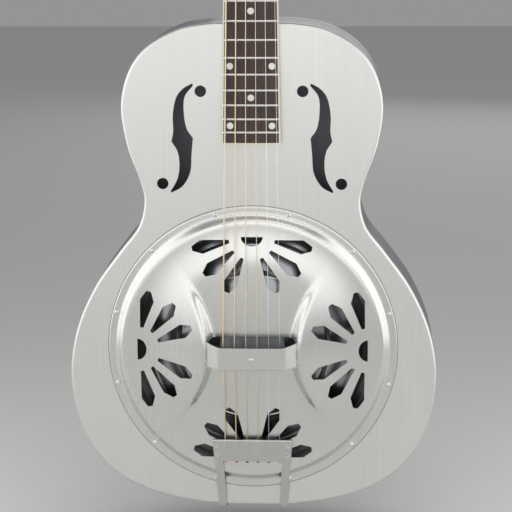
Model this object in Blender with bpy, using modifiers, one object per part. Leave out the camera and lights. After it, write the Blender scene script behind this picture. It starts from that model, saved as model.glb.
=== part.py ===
"""Resonator guitar: metal body, single cone with biscuit bridge, 12-fret neck, open-geared tuners.

Lengths in this file are millimetres; place() and the mesh helpers turn them into Blender's metres.
Three frames hold the pieces, each an empty:
  guitar     x to the treble side, y into the body from its front face, z up the neck from the saddle
  neck       on the fingerboard's surface at the body joint, leaning back by NECK_ANGLE
  headstock  on the overlay's surface just past the nut, leaning back by HEAD_ANGLE more
The world origin is where a wall hanger's arms carry the headstock.
"""

import math

import bmesh
import bpy
from mathutils import Matrix, Vector

MM = 0.001
GAP = 0.3          # between pieces that rest on each other
FINE_GAP = 0.1     # between thin glued pieces
CAP_WELD = 0.001   # joins the caps of a filled curve to its sides

# Body
BODY_TOP, BODY_TAIL = 318.6, -162.5
FACE_EDGE_R = 3.0
SHEET = 1.0                       # body and cover metal
SKIRT = 6.0                       # how far the front and back are turned over the rim
DEPTH_AT_TAIL, DEPTH_TAPER = 84.0, 0.0229
OUTLINE = [                       # right half, from the neck to the tail
    (0, BODY_TOP), (28, BODY_TOP), (44, 317.9), (71, 312.8), (99, 297.5), (118, 273), (126.3, 239),
    (120.8, 199.5), (108.5, 164), (105.2, 144), (111.3, 120.5), (129.5, 96.5), (153.6, 63), (171.5, 25),
    (180, -12), (180.3, -42), (174.2, -74), (161, -104), (134.5, -132.5), (96, -151), (48, -160.7),
    (0, BODY_TAIL),
]
STICK_HALF, STICK_FRONT, STICK_BACK = 14.0, 38.0, 64.0        # the stick that runs on from the neck
BLOCK_INNER = BODY_TAIL + 24.0

# Scale and neck
SCALE = 635.0
JOINT_Z = 321.0                   # 12th fret above the saddle
NECK_ANGLE = math.radians(2.2)
HEAD_ANGLE = math.radians(14.5)
BOARD_PROUD = 8.0                 # fingerboard surface above the face at the joint
BOARD_THICK = 6.0
BOARD_END = -117.2                # from the joint towards the saddle
NUT_Z = SCALE / 2
BOARD_HALF_NUT, BOARD_HALF_END = 21.6, 28.2
BINDING = 1.5
NUT_THICK = 5.0

# Resonator
WELL_MOUTH_R, WELL_LEDGE = 121.5, -26.0                       # heights above the face, as for the cone
CONE_R, CONE_WALL = 120.5, 0.6
COVER_R, DOME_R, FLANGE_IN = 142.0, 127.0, 135.5
DOME_FOOT, DOME_TOP, TROUGH = 7.0, 31.0, 12.0
TROUGH_FALL, TROUGH_LEAST = 4e-4, 7.6  # the fall is per square mm from the centre
FLANGE_TOP = SHEET + FINE_GAP
SCREW_CIRCLE, SCREWS = 138.1, 12
BAND_LOW, BAND_HIGH = -14.4, 7.4  # hand rest, across the trough
ROSETTE_R = 113.0                 # from the plate's centre to a rosette's flat side
BISCUIT_R, BISCUIT_TOP, BISCUIT_THICK = 32.0, 10.0, 6.0
SADDLE_HALF, SADDLE_THICK = 30.0, 3.2

# Tail
HOOD_Z, HOOD_FOOT_Z = -91.0, -111.5
HOOD_TOP, HOOD_FOOT = 17.2, 14.2
HOOD_LAP = 2.2                    # the straps lie this far under the hood's surface
STRAP_THICK = 1.5
PIN_Y = 40.0

# Strings, thickest first: diameter, and the spread of the six at three stations
GAUGES = [1.35, 1.07, 0.81, 0.61, 0.41, 0.31]
SPREAD_NUT, SPREAD_SADDLE, SPREAD_TAIL = 37.5, 55.5, 53.2
ACTION_NUT, ACTION_JOINT = 1.7, 3.4
WIND_START, WIND_PER_TURN, WIND_STEPS = -6.9, 12, 22

# Headstock and tuners
OVERLAY = 1.5
HEAD_FRONT, HEAD_THICK, HEAD_LONG = OVERLAY + 0.2, 14.0, 188.0
POST_X, POST_FIRST, POST_STEP = 20.0, 34.0, 40.0
POST_R, POST_PROUD = 3.0, 11.0
PLATE_BACK = HEAD_FRONT + HEAD_THICK + 0.2 + 1.2
WORM_Y = PLATE_BACK + 3.4
TEETH = 18
WHEEL_PITCH_R, WHEEL_TIP_R, WHEEL_ROOT_R = 5.15, 5.6, 4.55
WORM_CORE_R, WORM_TIP_R, CENTRES = 2.0, 3.0, 7.75
LEAD = 2 * math.pi * WHEEL_PITCH_R / TEETH
SHAFT_R = 1.5
EAR_IN, EAR_OUT = 4.6, 6.2


# ---------------------------------------------------------------- scene, frames and materials

def clear_scene():
    for thing in list(bpy.data.objects):
        bpy.data.objects.remove(thing, do_unlink=True)


def collection(name):
    made = bpy.data.collections.new(name)
    bpy.context.scene.collection.children.link(made)
    return made


def material(name, colour, roughness, metallic=0.0):
    made = bpy.data.materials.new(name)
    made.use_nodes = True
    shader = made.node_tree.nodes["Principled BSDF"]
    shader.inputs["Base Color"].default_value = (*colour, 1)
    shader.inputs["Roughness"].default_value = roughness
    shader.inputs["Metallic"].default_value = metallic
    return made


clear_scene()
PARTS = collection("resonator_guitar")
CUTTERS = collection("cutters")
CUTTERS.hide_render = True

NICKEL = material("brushed_nickel", (0.66, 0.66, 0.64), 0.35, 1.0)
ALUMINIUM = material("spun_aluminium", (0.72, 0.72, 0.72), 0.3, 1.0)
STEEL = material("polished_steel", (0.75, 0.75, 0.75), 0.2, 1.0)
MAHOGANY = material("mahogany", (0.16, 0.06, 0.03), 0.4)
ROSEWOOD = material("rosewood", (0.05, 0.03, 0.025), 0.5)
MAPLE = material("maple", (0.62, 0.44, 0.25), 0.5)
EBONY = material("ebony", (0.13, 0.14, 0.145), 0.45)
BLACK = material("black_gloss", (0.01, 0.01, 0.01), 0.2)
CREAM = material("cream_plastic", (0.78, 0.72, 0.55), 0.4)
BRONZE = material("phosphor_bronze", (0.75, 0.45, 0.25), 0.35, 1.0)


def frame(name, location, lean=0.0, parent=None):
    """An empty that pieces are parented to. A positive lean tips its z axis towards +y."""
    empty = bpy.data.objects.new(name, None)
    PARTS.objects.link(empty)
    empty.location = Vector(location) * MM
    empty.rotation_euler = (-lean, 0, 0)
    empty.parent = parent
    return empty


def to_guitar(point):
    """A point of the neck's frame, in the guitar's."""
    x, y, z = point
    c, s = math.cos(NECK_ANGLE), math.sin(NECK_ANGLE)
    return Vector((x, y * c + z * s - BOARD_PROUD, -y * s + z * c + JOINT_Z))


HANG_POINT = to_guitar((0, BOARD_THICK + 15.5, NUT_Z + NUT_THICK))
GUITAR = frame("guitar", -HANG_POINT)
NECK = frame("neck_frame", (0, -BOARD_PROUD, JOINT_Z), NECK_ANGLE, GUITAR)
HEAD = frame("headstock_frame", (0, 4.0, NUT_Z + NUT_THICK + 0.7), HEAD_ANGLE, NECK)


# ---------------------------------------------------------------- mesh helpers

def place(name, mesh, finish, parent=GUITAR, at=(0, 0, 0), cutter=False):
    piece = bpy.data.objects.new(name, mesh)
    (CUTTERS if cutter else PARTS).objects.link(piece)
    piece.parent = parent
    piece.location = Vector(at) * MM
    if cutter:
        piece.hide_render = True
        piece.display_type = "WIRE"
    else:
        mesh.materials.append(finish)
        mesh.shade_smooth()
        mesh.set_sharp_from_angle(angle=math.radians(35))
    return piece


def mesh_from(name, bm):
    bmesh.ops.recalc_face_normals(bm, faces=bm.faces)
    bmesh.ops.scale(bm, vec=(MM, MM, MM), verts=bm.verts)
    mesh = bpy.data.meshes.new(name)
    bm.to_mesh(mesh)
    bm.free()
    return mesh


def welded_mesh_of(name, curve):
    """The curve as a bmesh with its caps welded on. The curve is removed."""
    holder = bpy.data.objects.new(name, curve)
    bpy.context.scene.collection.objects.link(holder)
    bpy.context.view_layer.update()
    graph = bpy.context.evaluated_depsgraph_get()
    mesh = bpy.data.meshes.new_from_object(holder.evaluated_get(graph))
    bpy.data.objects.remove(holder)
    bpy.data.curves.remove(curve)
    bm = bmesh.new()
    bm.from_mesh(mesh)
    bpy.data.meshes.remove(mesh)
    bmesh.ops.remove_doubles(bm, verts=bm.verts, dist=CAP_WELD)
    return bm


DEPTHWAYS = Matrix.Rotation(math.pi / 2, 3, "X")              # outline in x and z, thickness along y
LENGTHWAYS = Matrix.Identity(3)                               # outline in x and y, thickness along z
STANDING = Matrix.Rotation(math.pi, 3, "X")                   # outline in x and height, thickness along z
SIDEWAYS = Matrix(((0, 0, 1), (0, -1, 0), (1, 0, 0)))         # outline in z and height, thickness along x


def flat_solid(name, outlines, near, far, way=DEPTHWAYS):
    """A plate from near to far along its thickness. Each outline is a closed loop of points."""
    curve = bpy.data.curves.new(name, "CURVE")
    curve.dimensions = "2D"
    curve.fill_mode = "BOTH"
    curve.extrude = (far - near) / 2
    for outline in outlines:
        spline = curve.splines.new("POLY")
        spline.points.add(len(outline) - 1)
        for point, (across, along) in zip(spline.points, outline):
            point.co = (across, along, 0, 1)
        spline.use_cyclic_u = True
    bm = welded_mesh_of(name, curve)
    through = way @ Vector((0, 0, 1))
    bmesh.ops.rotate(bm, verts=bm.verts, matrix=way)
    bmesh.ops.translate(bm, verts=bm.verts, vec=[abs(part) * (near + far) / 2 for part in through])
    return mesh_from(name, bm)


def box(name, low, high):
    bm = bmesh.new()
    bmesh.ops.create_cube(bm, size=1)
    low, high = Vector(low), Vector(high)
    bmesh.ops.scale(bm, vec=high - low, verts=bm.verts)
    bmesh.ops.translate(bm, vec=(low + high) / 2, verts=bm.verts)
    return mesh_from(name, bm)


def rod(name, radius, start, end, sides=16):
    """A cylinder between two points, with sides that touch the radius from outside."""
    start, end = Vector(start), Vector(end)
    span = end - start
    bm = bmesh.new()
    reach = radius / math.cos(math.pi / sides)
    bmesh.ops.create_cone(bm, cap_ends=True, segments=sides, radius1=reach, radius2=reach, depth=span.length)
    turn = span.to_track_quat("Z", "Y").to_matrix().to_4x4()
    bmesh.ops.transform(bm, matrix=Matrix.Translation((start + end) / 2) @ turn, verts=bm.verts)
    return mesh_from(name, bm)


def turned(name, profile, finish, sides, parent=GUITAR, at=(0, 0, 0), turn=(math.pi / 2, 0, 0)):
    """A profile of (radius, height), from its top down its outer side, turned about its height.
    The height points towards -y unless turn says otherwise. A profile off the axis is a closed loop."""
    mesh = bpy.data.meshes.new(name)
    points = [(radius * MM, 0, height * MM) for radius, height in profile]
    edges = [(i, i + 1) for i in range(len(points) - 1)]
    if profile[0][0] > 0:
        edges.append((len(points) - 1, 0))
    mesh.from_pydata(points, edges, [])
    piece = place(name, mesh, finish, parent, at)
    piece.rotation_euler = turn
    screw = piece.modifiers.new("turn", "SCREW")
    screw.steps = screw.render_steps = sides
    screw.use_merge_vertices = True
    screw.merge_threshold = 0.00001
    return piece


def boolean(piece, other, operation):
    modifier = piece.modifiers.new(operation.lower(), "BOOLEAN")
    modifier.operation = operation
    modifier.object = other


def cut(piece, mesh, parent=GUITAR, at=(0, 0, 0)):
    boolean(piece, place("cut_" + mesh.name, mesh, None, parent, at, cutter=True), "DIFFERENCE")


def join(piece, mesh, parent=GUITAR, at=(0, 0, 0)):
    boolean(piece, place("join_" + mesh.name, mesh, None, parent, at, cutter=True), "UNION")


def shell(piece, thickness):
    modifier = piece.modifiers.new("wall", "SOLIDIFY")
    modifier.thickness = thickness * MM
    modifier.offset = -1
    modifier.use_even_offset = True


def smooth_through(points, steps, closed=False):
    """Points on a Catmull-Rom curve through the given ones."""
    count = len(points)
    spans = count if closed else count - 1

    def known(i):
        if closed:
            return Vector(points[i % count])
        if i < 0:
            return 2 * Vector(points[0]) - Vector(points[1])
        if i >= count:
            return 2 * Vector(points[-1]) - Vector(points[-2])
        return Vector(points[i])

    found = []
    for i in range(spans):
        a, b, c, d = (known(i + k) for k in (-1, 0, 1, 2))
        for step in range(steps):
            t = step / steps
            found.append(0.5 * (2 * b + (c - a) * t + (2 * a - 5 * b + 4 * c - d) * t**2
                                + (3 * b - a - 3 * c + d) * t**3))
    if not closed:
        found.append(known(count - 1))
    return [tuple(p) for p in found]


def smooth_step(t):
    t = min(max(t, 0.0), 1.0)
    return t * t * (3 - 2 * t)


def spread(width, i):
    """The x of string i of six, counted from the bass side."""
    return width * (i / 5 - 0.5)


# ---------------------------------------------------------------- body

def body_outline(steps=2):
    right = [(x, z) for x, z in OUTLINE]
    left = [(-x, z) for x, z in reversed(right[1:-1])]
    return smooth_through(right + left, steps, closed=True)


def back_y(z):
    return DEPTH_AT_TAIL - DEPTH_TAPER * (z - BODY_TAIL)


def rim_loop(bm, outline, depth_of):
    return [bm.verts.new((x, depth_of(z), z)) for x, z in outline]


def wall_between(bm, first, second):
    for i in range(len(first)):
        k = (i + 1) % len(first)
        bm.faces.new((first[i], first[k], second[k], second[i]))


def pan(name, face_depth, skirt_depth, flip):
    """A sheet with its edge turned over: the front or the back of the body."""
    outline = body_outline()
    bm = bmesh.new()
    face_loop = rim_loop(bm, outline, face_depth)
    skirt_loop = rim_loop(bm, outline, skirt_depth)
    bm.faces.new(face_loop)
    wall_between(bm, face_loop, skirt_loop)
    bmesh.ops.recalc_face_normals(bm, faces=bm.faces)
    face = max(bm.faces, key=lambda f: f.calc_area())
    if (face.normal.y > 0) != flip:
        bmesh.ops.reverse_faces(bm, faces=bm.faces)
    bmesh.ops.bevel(bm, geom=list(face.edges), offset=FACE_EDGE_R, segments=1, profile=0.5, affect="EDGES")
    bmesh.ops.scale(bm, vec=(MM, MM, MM), verts=bm.verts)
    mesh = bpy.data.meshes.new(name)
    bm.to_mesh(mesh)
    bm.free()
    piece = place(name, mesh, NICKEL)
    shell(piece, SHEET)
    return piece


F_HOLE_SIDES = [                  # right side, four curves round the outline
    [(57, 261), (66, 255.6), (72.6, 246.5), (75.8, 230), (75.5, 215), (77.4, 205)],
    [(77.4, 205), (71.6, 195), (69.9, 182), (72.2, 168), (78.8, 156.2)],
    [(77.8, 155), (67, 161.5), (59.6, 175), (58.1, 193), (56.6, 208.2)],
    [(56.6, 208.2), (62.6, 217.5), (65.1, 232), (64.2, 248), (56, 259)],
]
F_DOTS = [(49.0, 253.5), (86.4, 163.8)]
F_DOT_R = 5.5


def circle(centre, radius, sides):
    return [(centre[0] + radius * math.cos(2 * math.pi * i / sides),
             centre[1] + radius * math.sin(2 * math.pi * i / sides)) for i in range(sides)]


def f_hole_outlines():
    found = []
    for side in (1, -1):
        loop = []
        for curve in F_HOLE_SIDES:
            loop += smooth_through(curve, 2)
        tidy = [p for i, p in enumerate(loop) if math.dist(p, loop[i - 1]) > 0.01]
        found.append([(side * x, z) for x, z in tidy])
        found += [circle((side * x, z), F_DOT_R, 12) for x, z in F_DOTS]
    return found


def screw_places():
    angles = [math.radians(15 + 30 * i) for i in range(SCREWS)]
    return [(SCREW_CIRCLE * math.cos(a), SCREW_CIRCLE * math.sin(a)) for a in angles]


def make_body():
    top = pan("body_top", lambda z: 0, lambda z: SKIRT, flip=False)
    holes = f_hole_outlines() + [circle((0, 0), WELL_MOUTH_R, 48)]
    holes += [circle(p, 1.7, 6) for p in screw_places()]
    cut(top, flat_solid("front_holes", holes, -3, 4))

    pan("body_back", back_y, lambda z: back_y(z) - SKIRT, flip=True)

    outline = body_outline()
    bm = bmesh.new()
    near = rim_loop(bm, outline, lambda z: SKIRT + GAP)
    far = rim_loop(bm, outline, lambda z: back_y(z) - SKIRT - GAP)
    wall_between(bm, near, far)
    sides = place("body_sides", mesh_from("body_sides", bm), NICKEL)
    shell(sides, SHEET)
    cut(sides, box("stick_way", (-STICK_HALF - GAP, STICK_FRONT - GAP, BODY_TOP - 5),
                   (STICK_HALF + GAP, STICK_BACK + GAP, BODY_TOP + 5)))
    cut(sides, rod("pin_way", 3.4, (0, PIN_Y, BODY_TAIL - 5), (0, PIN_Y, BODY_TAIL + 5)))


def make_inside():
    stick_low = (-STICK_HALF, STICK_FRONT, BLOCK_INNER + GAP)
    place("neck_stick", box("neck_stick", stick_low, (STICK_HALF, STICK_BACK, BODY_TOP)), MAPLE)
    block_low = (-28, 12, BODY_TAIL + SHEET + 1.5)
    block = place("tail_block", box("tail_block", block_low, (28, 76, BLOCK_INNER)), MAPLE)
    cut(block, rod("pin_bore", 3.3, (0, PIN_Y, BODY_TAIL - 5), (0, PIN_Y, BODY_TAIL + 21.5)))

    # The ring under the front, the wall, and the ledge that carries the cone.
    ring = -SHEET - GAP
    turned("sound_well", [
        (133.0, ring), (133.0, ring - SHEET), (124.0, ring - SHEET), (124.0, WELL_LEDGE - SHEET),
        (113.0, WELL_LEDGE - SHEET), (113.0, WELL_LEDGE), (123.0, WELL_LEDGE), (123.0, ring),
    ], NICKEL, 36)

    rim = WELL_LEDGE + GAP
    crown = BISCUIT_TOP - BISCUIT_THICK - GAP
    outer = [(2.6, crown), (29.0, crown), (34.0, crown - 1.2), (75.0, crown - 12.5), (112.0, rim + 2.4),
             (115.0, rim + CONE_WALL), (CONE_R, rim + CONE_WALL)]
    inner = [(CONE_R, rim), (114.6, rim), (111.6, rim + 1.7), (75.0, crown - 12.5 - CONE_WALL),
             (34.0, crown - 1.2 - CONE_WALL), (29.0, crown - CONE_WALL), (2.6, crown - CONE_WALL)]
    turned("cone", outer + inner, ALUMINIUM, 32)


def make_bridge():
    biscuit = place("biscuit", rod("biscuit", BISCUIT_R, (0, -BISCUIT_TOP + BISCUIT_THICK, 0),
                                   (0, -BISCUIT_TOP, 0), 36), EBONY)
    slot = SADDLE_THICK / 2 + FINE_GAP
    cut(biscuit, box("saddle_slot", (-40, -BISCUIT_TOP - 2, -slot), (40, -BISCUIT_TOP + 2, slot)))
    cut(biscuit, rod("biscuit_bore", 1.9, (0, -BISCUIT_TOP - 5, 0), (0, 5, 0), 12))

    string_y = string_height_at_saddle()
    stations = [SADDLE_HALF * i / 3 for i in range(-3, 4)]
    peak = [(x, string_y + 0.2 - 0.4 * (x / SADDLE_HALF) ** 2) for x in stations]
    profile = peak + [(SADDLE_HALF, BISCUIT_TOP - 1.8), (-SADDLE_HALF, BISCUIT_TOP - 1.8)]
    half_thick = SADDLE_THICK / 2
    saddle = place("saddle", flat_solid("saddle", [profile], -half_thick, half_thick, STANDING), EBONY)
    for i, gauge in enumerate(GAUGES):
        x = spread(SPREAD_SADDLE, i)
        groove = rod(f"saddle_groove_{i}", gauge / 2 + 0.3, (x, -string_y, -4), (x, -string_y, 4), 8)
        cut(saddle, groove)

    low = BISCUIT_TOP - BISCUIT_THICK - 1.0
    turned("biscuit_screw", [(0, BISCUIT_TOP - 2.6), (1.6, BISCUIT_TOP - 2.6), (1.6, low - GAP),
                             (4.0, low - GAP), (3.6, low - 2.0), (0, low - 2.4)], STEEL, 12)


# ---------------------------------------------------------------- cover plate

def cover_height(x, z):
    """Height above the face of the cover plate's upper surface."""
    r = math.hypot(x, z)
    if r >= DOME_R:
        fall = smooth_step((r - DOME_R) / (FLANGE_IN - DOME_R))
        return DOME_FOOT + (FLANGE_TOP - DOME_FOOT) * fall
    dome = DOME_FOOT + (DOME_TOP - DOME_FOOT) * math.cos(math.pi * r / (2 * DOME_R)) ** 2
    trough_half = 41.0 + (0.0048 if z > 0 else 0.0063) * z * z
    wall = smooth_step((abs(x) - trough_half + 5) / 10)
    floor = max(TROUGH - TROUGH_FALL * r * r, TROUGH_LEAST)
    return min(dome, floor) * (1 - wall) + dome * wall


def petal(rosette_angle, petal_angle):
    """A petal's outline: it points from the middle of the rosette's flat side towards the plate's centre."""
    rim = Vector((math.cos(rosette_angle), math.sin(rosette_angle))) * ROSETTE_R
    along = Vector((-math.cos(rosette_angle + petal_angle), -math.sin(rosette_angle + petal_angle)))
    across = Vector((-along.y, along.x))
    shape = [(22.5, 1.6), (50.0, 6.9), (59.5, 2.3), (59.5, -2.3), (50.0, -6.9), (22.5, -1.6)]
    return [tuple(rim + along * a + across * b) for a, b in shape]


def rosette_outlines():
    found = []
    for quarter in range(4):
        facing = math.radians(90 * quarter)
        for degrees in (-78.5, -51.5, -24.5, 24.5, 51.5, 78.5):
            found.append(petal(facing, math.radians(degrees)))
        middle = (ROSETTE_R * math.cos(facing), ROSETTE_R * math.sin(facing))
        half = [math.radians(90 + 180 * i / 8) for i in range(9)]
        moon = [(9.0 * math.cos(a), 10.6 * math.sin(a)) for a in half]
        c, s = math.cos(facing), math.sin(facing)
        found.append([(middle[0] + a * c - b * s, middle[1] + a * s + b * c) for a, b in moon])
    return found


def make_cover():
    radii = [11, 27, 38, 46, 56, 74, 100, DOME_R, FLANGE_IN, COVER_R]
    sides = 44
    bm = bmesh.new()
    rings = []
    for radius in radii:
        ring = []
        for x, z in circle((0, 0), radius, sides):
            ring.append(bm.verts.new((x, -cover_height(x, z), z)))
        rings.append(ring)
    for inner, outer in zip(rings, rings[1:]):
        wall_between(bm, inner, outer)
    mesh = mesh_from("cover_plate", bm)
    if mesh.polygons[0].normal.y > 0:
        mesh.flip_normals()
    cover = place("cover_plate", mesh, NICKEL)
    shell(cover, SHEET)
    mouth = [(34, 14.6), (39.5, 13.6), (41.8, 11.5), (41.8, -14.6), (38, -15.5)]
    mouth += [(-x, z) for x, z in reversed(mouth)]
    holes = [circle(p, 1.9, 6) for p in screw_places()]
    cut(cover, flat_solid("plate_holes", [mouth] + rosette_outlines() + holes, -34, 2))

    band = bmesh.new()
    rows = []
    for edge, rise in ((BAND_LOW, 2.0), (BAND_HIGH, 4.8)):
        row = []
        for x in [-48, -45, -42, -39, -36, -33, -30, 0, 30, 33, 36, 39, 42, 45, 48]:
            out = max(abs(x) - 30, 0) / 18
            height, z = DOME_TOP - 12 * out ** 1.5, edge + rise * out
            row.append([band.verts.new((x, -(height - sink), z)) for sink in (0, SHEET)])
        rows.append(row)
    low, high = rows
    for i in range(len(low) - 1):
        for k, (a, b) in enumerate(((low, high), (high, low))):
            band.faces.new((a[i][k], a[i + 1][k], b[i + 1][k], b[i][k]))
        for row in rows:
            band.faces.new((row[i][0], row[i + 1][0], row[i + 1][1], row[i][1]))
    for end in (0, -1):
        band.faces.new((low[end][0], low[end][1], high[end][1], high[end][0]))
    join(cover, mesh_from("hand_rest", band))
    middle = (BAND_LOW + BAND_HIGH) / 2
    cut(cover, rod("hand_rest_hole", 1.8, (0, -DOME_TOP - 3, middle), (0, -DOME_TOP + 3, middle), 10))

    head = [(0, 3.9), (1.4, 3.6), (2.4, 2.4), (2.4, GAP), (1.4, GAP), (1.4, -2.6), (0, -2.6)]
    turned("hand_rest_screw", head, STEEL, 10, at=(0, -DOME_TOP, middle))
    shank = [(0, 2.2), (1.6, 1.8), (2.4, GAP), (1.3, GAP), (1.3, -5.0), (0, -5.0)]
    for i, (x, z) in enumerate(screw_places()):
        turned(f"cover_screw_{i + 1}", shank, STEEL, 8, at=(x, -FLANGE_TOP, z))


# ---------------------------------------------------------------- tailpiece

STRAP_PATH = [                    # height above the face, z, middle x, width
    (HOOD_TOP - HOOD_LAP, -94.5, 34.9, 8.6), (HOOD_FOOT - HOOD_LAP, -110.5, 33.8, 8.6),
    (9.0, -128, 32.3, 8.2), (5.0, -147, 31.2, 7.9), (3.4, -156, 30.7, 7.8), (2.2, -161.5, 30.4, 7.7),
    (0, -164.4, 30.2, 7.7),
    (-4, -165.2, 30.0, 7.7), (-26, -165.2, 28.0, 7.7), (-34, -165.2, 26.0, 7.7),
]


def make_tailpiece():
    bm = bmesh.new()
    for side in (-1, 1):
        before = None
        for height, z, x, width in STRAP_PATH:
            pair = [bm.verts.new((side * (x + half), -height, z)) for half in (-width / 2, width / 2)]
            if before:
                bm.faces.new((before[0], before[1], pair[1], pair[0]))
            before = pair
    bmesh.ops.scale(bm, vec=(MM, MM, MM), verts=bm.verts)
    mesh = bpy.data.meshes.new("tailpiece_frame")
    for face in bm.faces:
        face.normal_update()
        if face.normal.y > 0.2 or (abs(face.normal.y) <= 0.2 and face.normal.z > 0):
            face.normal_flip()
    bm.to_mesh(mesh)
    bm.free()
    straps = place("tailpiece_frame", mesh, NICKEL)
    shell(straps, STRAP_THICK)
    end = [(-30, 30), (30, 30), (24, 52), (-24, 52)]
    outside = STRAP_PATH[-1][1]
    join(straps, flat_solid("end_plate", [end], outside - 0.01, outside + STRAP_THICK, LENGTHWAYS))
    cut(straps, rod("pin_hole", 3.4, (0, PIN_Y, -170), (0, PIN_Y, -160)))

    lip = [(HOOD_Z + 1.2, HOOD_TOP - 2.6), (HOOD_Z + 2.0, HOOD_TOP - 1.4), (HOOD_Z + 1.2, HOOD_TOP)]
    section = lip + [(HOOD_FOOT_Z, HOOD_FOOT), (HOOD_FOOT_Z - 1.1, HOOD_FOOT - 1.0), (HOOD_FOOT_Z - 1.1, 8.6),
                     (HOOD_FOOT_Z, 8.6), (HOOD_FOOT_Z, HOOD_FOOT - 1.4), (HOOD_Z, HOOD_TOP - 1.4)]
    hood = place("tailpiece_hood", flat_solid("tailpiece_hood", [section], -29.2, 29.2, SIDEWAYS), NICKEL)
    wing = flat_solid("hood_wings", [[(-39.6, 0), (39.6, 0), (38, -19.5), (-38, -19.5)]], -0.6, 0.6)
    lean = math.atan2(HOOD_TOP - HOOD_FOOT, HOOD_Z - HOOD_FOOT_Z)
    wing.transform(Matrix.Rotation(lean, 4, "X"))
    join(hood, wing, at=(0, -HOOD_TOP + 0.7, HOOD_Z + 1.0))
    for i in range(len(GAUGES)):
        x = spread(SPREAD_TAIL, i)
        cut(hood, box(f"hood_slot_{i}", (x - 0.9, -string_height_at(HOOD_FOOT_Z) - 0.9, HOOD_FOOT_Z - 3),
                      (x + 0.9, -5, HOOD_FOOT_Z + 0.8)))

    button = [(0, 11.3), (5.5, 11.3), (7.0, 10.1), (4.0, 7.6), (4.0, 5.5), (6.5, 4.2), (6.5, 3.1), (3.0, 3.1),
              (3.0, -19.0), (0, -20.0)]
    turned("strap_button", button, STEEL, 16, at=(0, PIN_Y, BODY_TAIL), turn=(math.pi, 0, 0))


# ---------------------------------------------------------------- neck

def board_half(z):
    return BOARD_HALF_NUT + (BOARD_HALF_END - BOARD_HALF_NUT) * (NUT_Z - z) / (NUT_Z - BOARD_END)


def neck_section(bm, z, top, depth, half, lean=0.0, points=10):
    """A flat top and a half-ellipse under it. Lean moves deeper points up the neck."""
    ring = []
    for i in range(points + 1):
        angle = math.pi * i / points
        y = top + depth * math.sin(angle)
        ring.append(bm.verts.new((half * math.cos(angle), y, z + lean * y)))
    return ring


def make_neck():
    top = BOARD_THICK + FINE_GAP
    bm = bmesh.new()
    lean = math.tan(NECK_ANGLE)
    foot = (BODY_TOP + GAP - JOINT_Z) / math.cos(NECK_ANGLE)
    sections = [                  # z, depth, half width, lean
        (foot, 58, 26.3, lean), (foot + 5, 52, 26.2, lean), (foot + 12, 41, 26.1, lean * 0.7),
        (foot + 20, 31, 25.9, 0), (foot + 30, 24, 25.6, 0), (foot + 44, 19.5, 25.3, 0),
        (110, 17.2, 24.4, 0), (NUT_Z - 40, 15.4, 22.4, 0), (NUT_Z, 15.2, BOARD_HALF_NUT, 0),
        (NUT_Z + 7, 15.5, 22, 0),
    ]
    rings = [neck_section(bm, z, top, depth, half, tilt) for z, depth, half, tilt in sections]
    rings.append(neck_section(bm, NUT_Z + 22, top + 9, 9.5, 23))
    for first, second in zip(rings, rings[1:]):
        wall_between(bm, first, second)
    bm.faces.new(rings[0])
    bm.faces.new(rings[-1])
    neck = place("neck", mesh_from("neck", bm), MAHOGANY, NECK)

    # The tongue under the fingerboard lies on the front of the body.
    tongue = bmesh.new()
    loops = []
    for z in (BOARD_END + 3, foot + 6):
        half = board_half(z) - 2.5
        face = (BOARD_PROUD - FINE_GAP * 3 - z * math.sin(NECK_ANGLE)) / math.cos(NECK_ANGLE)
        loops.append([tongue.verts.new((x, y, z)) for x, y in
                      ((-half, top), (half, top), (half, face), (-half, face))])
    wall_between(tongue, *loops)
    tongue.faces.new(loops[0])
    tongue.faces.new(loops[1])
    join(neck, mesh_from("tongue", tongue), NECK)
    join(neck, head_plate("head_wood", HEAD_FRONT, HEAD_FRONT + HEAD_THICK), HEAD)
    for x, z in post_places():
        cut(neck, rod("post_bore", POST_R + 0.5, (x, -2, z), (x, 22, z), 12), HEAD)
    cut(neck, rod("rod_way", 2.8, (0, BOARD_THICK + 7, 20), (0, BOARD_THICK + 7, NUT_Z + 22), 8), NECK)
    cut(neck, box("rod_pocket", (-5, -3, 2.5), (5, 8.0, 26)), HEAD)

    place("truss_rod", rod("truss_rod", 2.3, (0, BOARD_THICK + 7, 24), (0, BOARD_THICK + 7, NUT_Z + 15), 8),
          STEEL, NECK)
    overlay = place("headstock_overlay", head_plate("headstock_overlay", 0, OVERLAY, start=0.6), BLACK, HEAD)
    for x, z in post_places():
        cut(overlay, rod("overlay_hole", POST_R + 0.5, (x, -4, z), (x, 6, z), 12), HEAD)
    cut(overlay, box("overlay_pocket", (-5, -3, 2.5), (5, 3, 26)), HEAD)
    bell = [(7, 1.2), (9.5, 6), (9.2, 14), (6, 24), (4, 34)]
    bell += [(-x, z) for x, z in reversed(bell)]
    place("truss_rod_cover", flat_solid("truss_rod_cover", [bell], -1.6, -FINE_GAP), CREAM, HEAD)


def head_plate(name, front, back, start=0.0):
    right = [(21.6, start), (22.2, 4), (25, 11), (30.5, 17.5), (34, 26), (34.6, 60), (36, 120), (37.6, 176),
             (36.2, 181), (24, 184), (12, 187), (0, HEAD_LONG)]
    outline = right + [(-x, z) for x, z in reversed(right[:-1])]
    return flat_solid(name, [outline], front, back)


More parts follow.
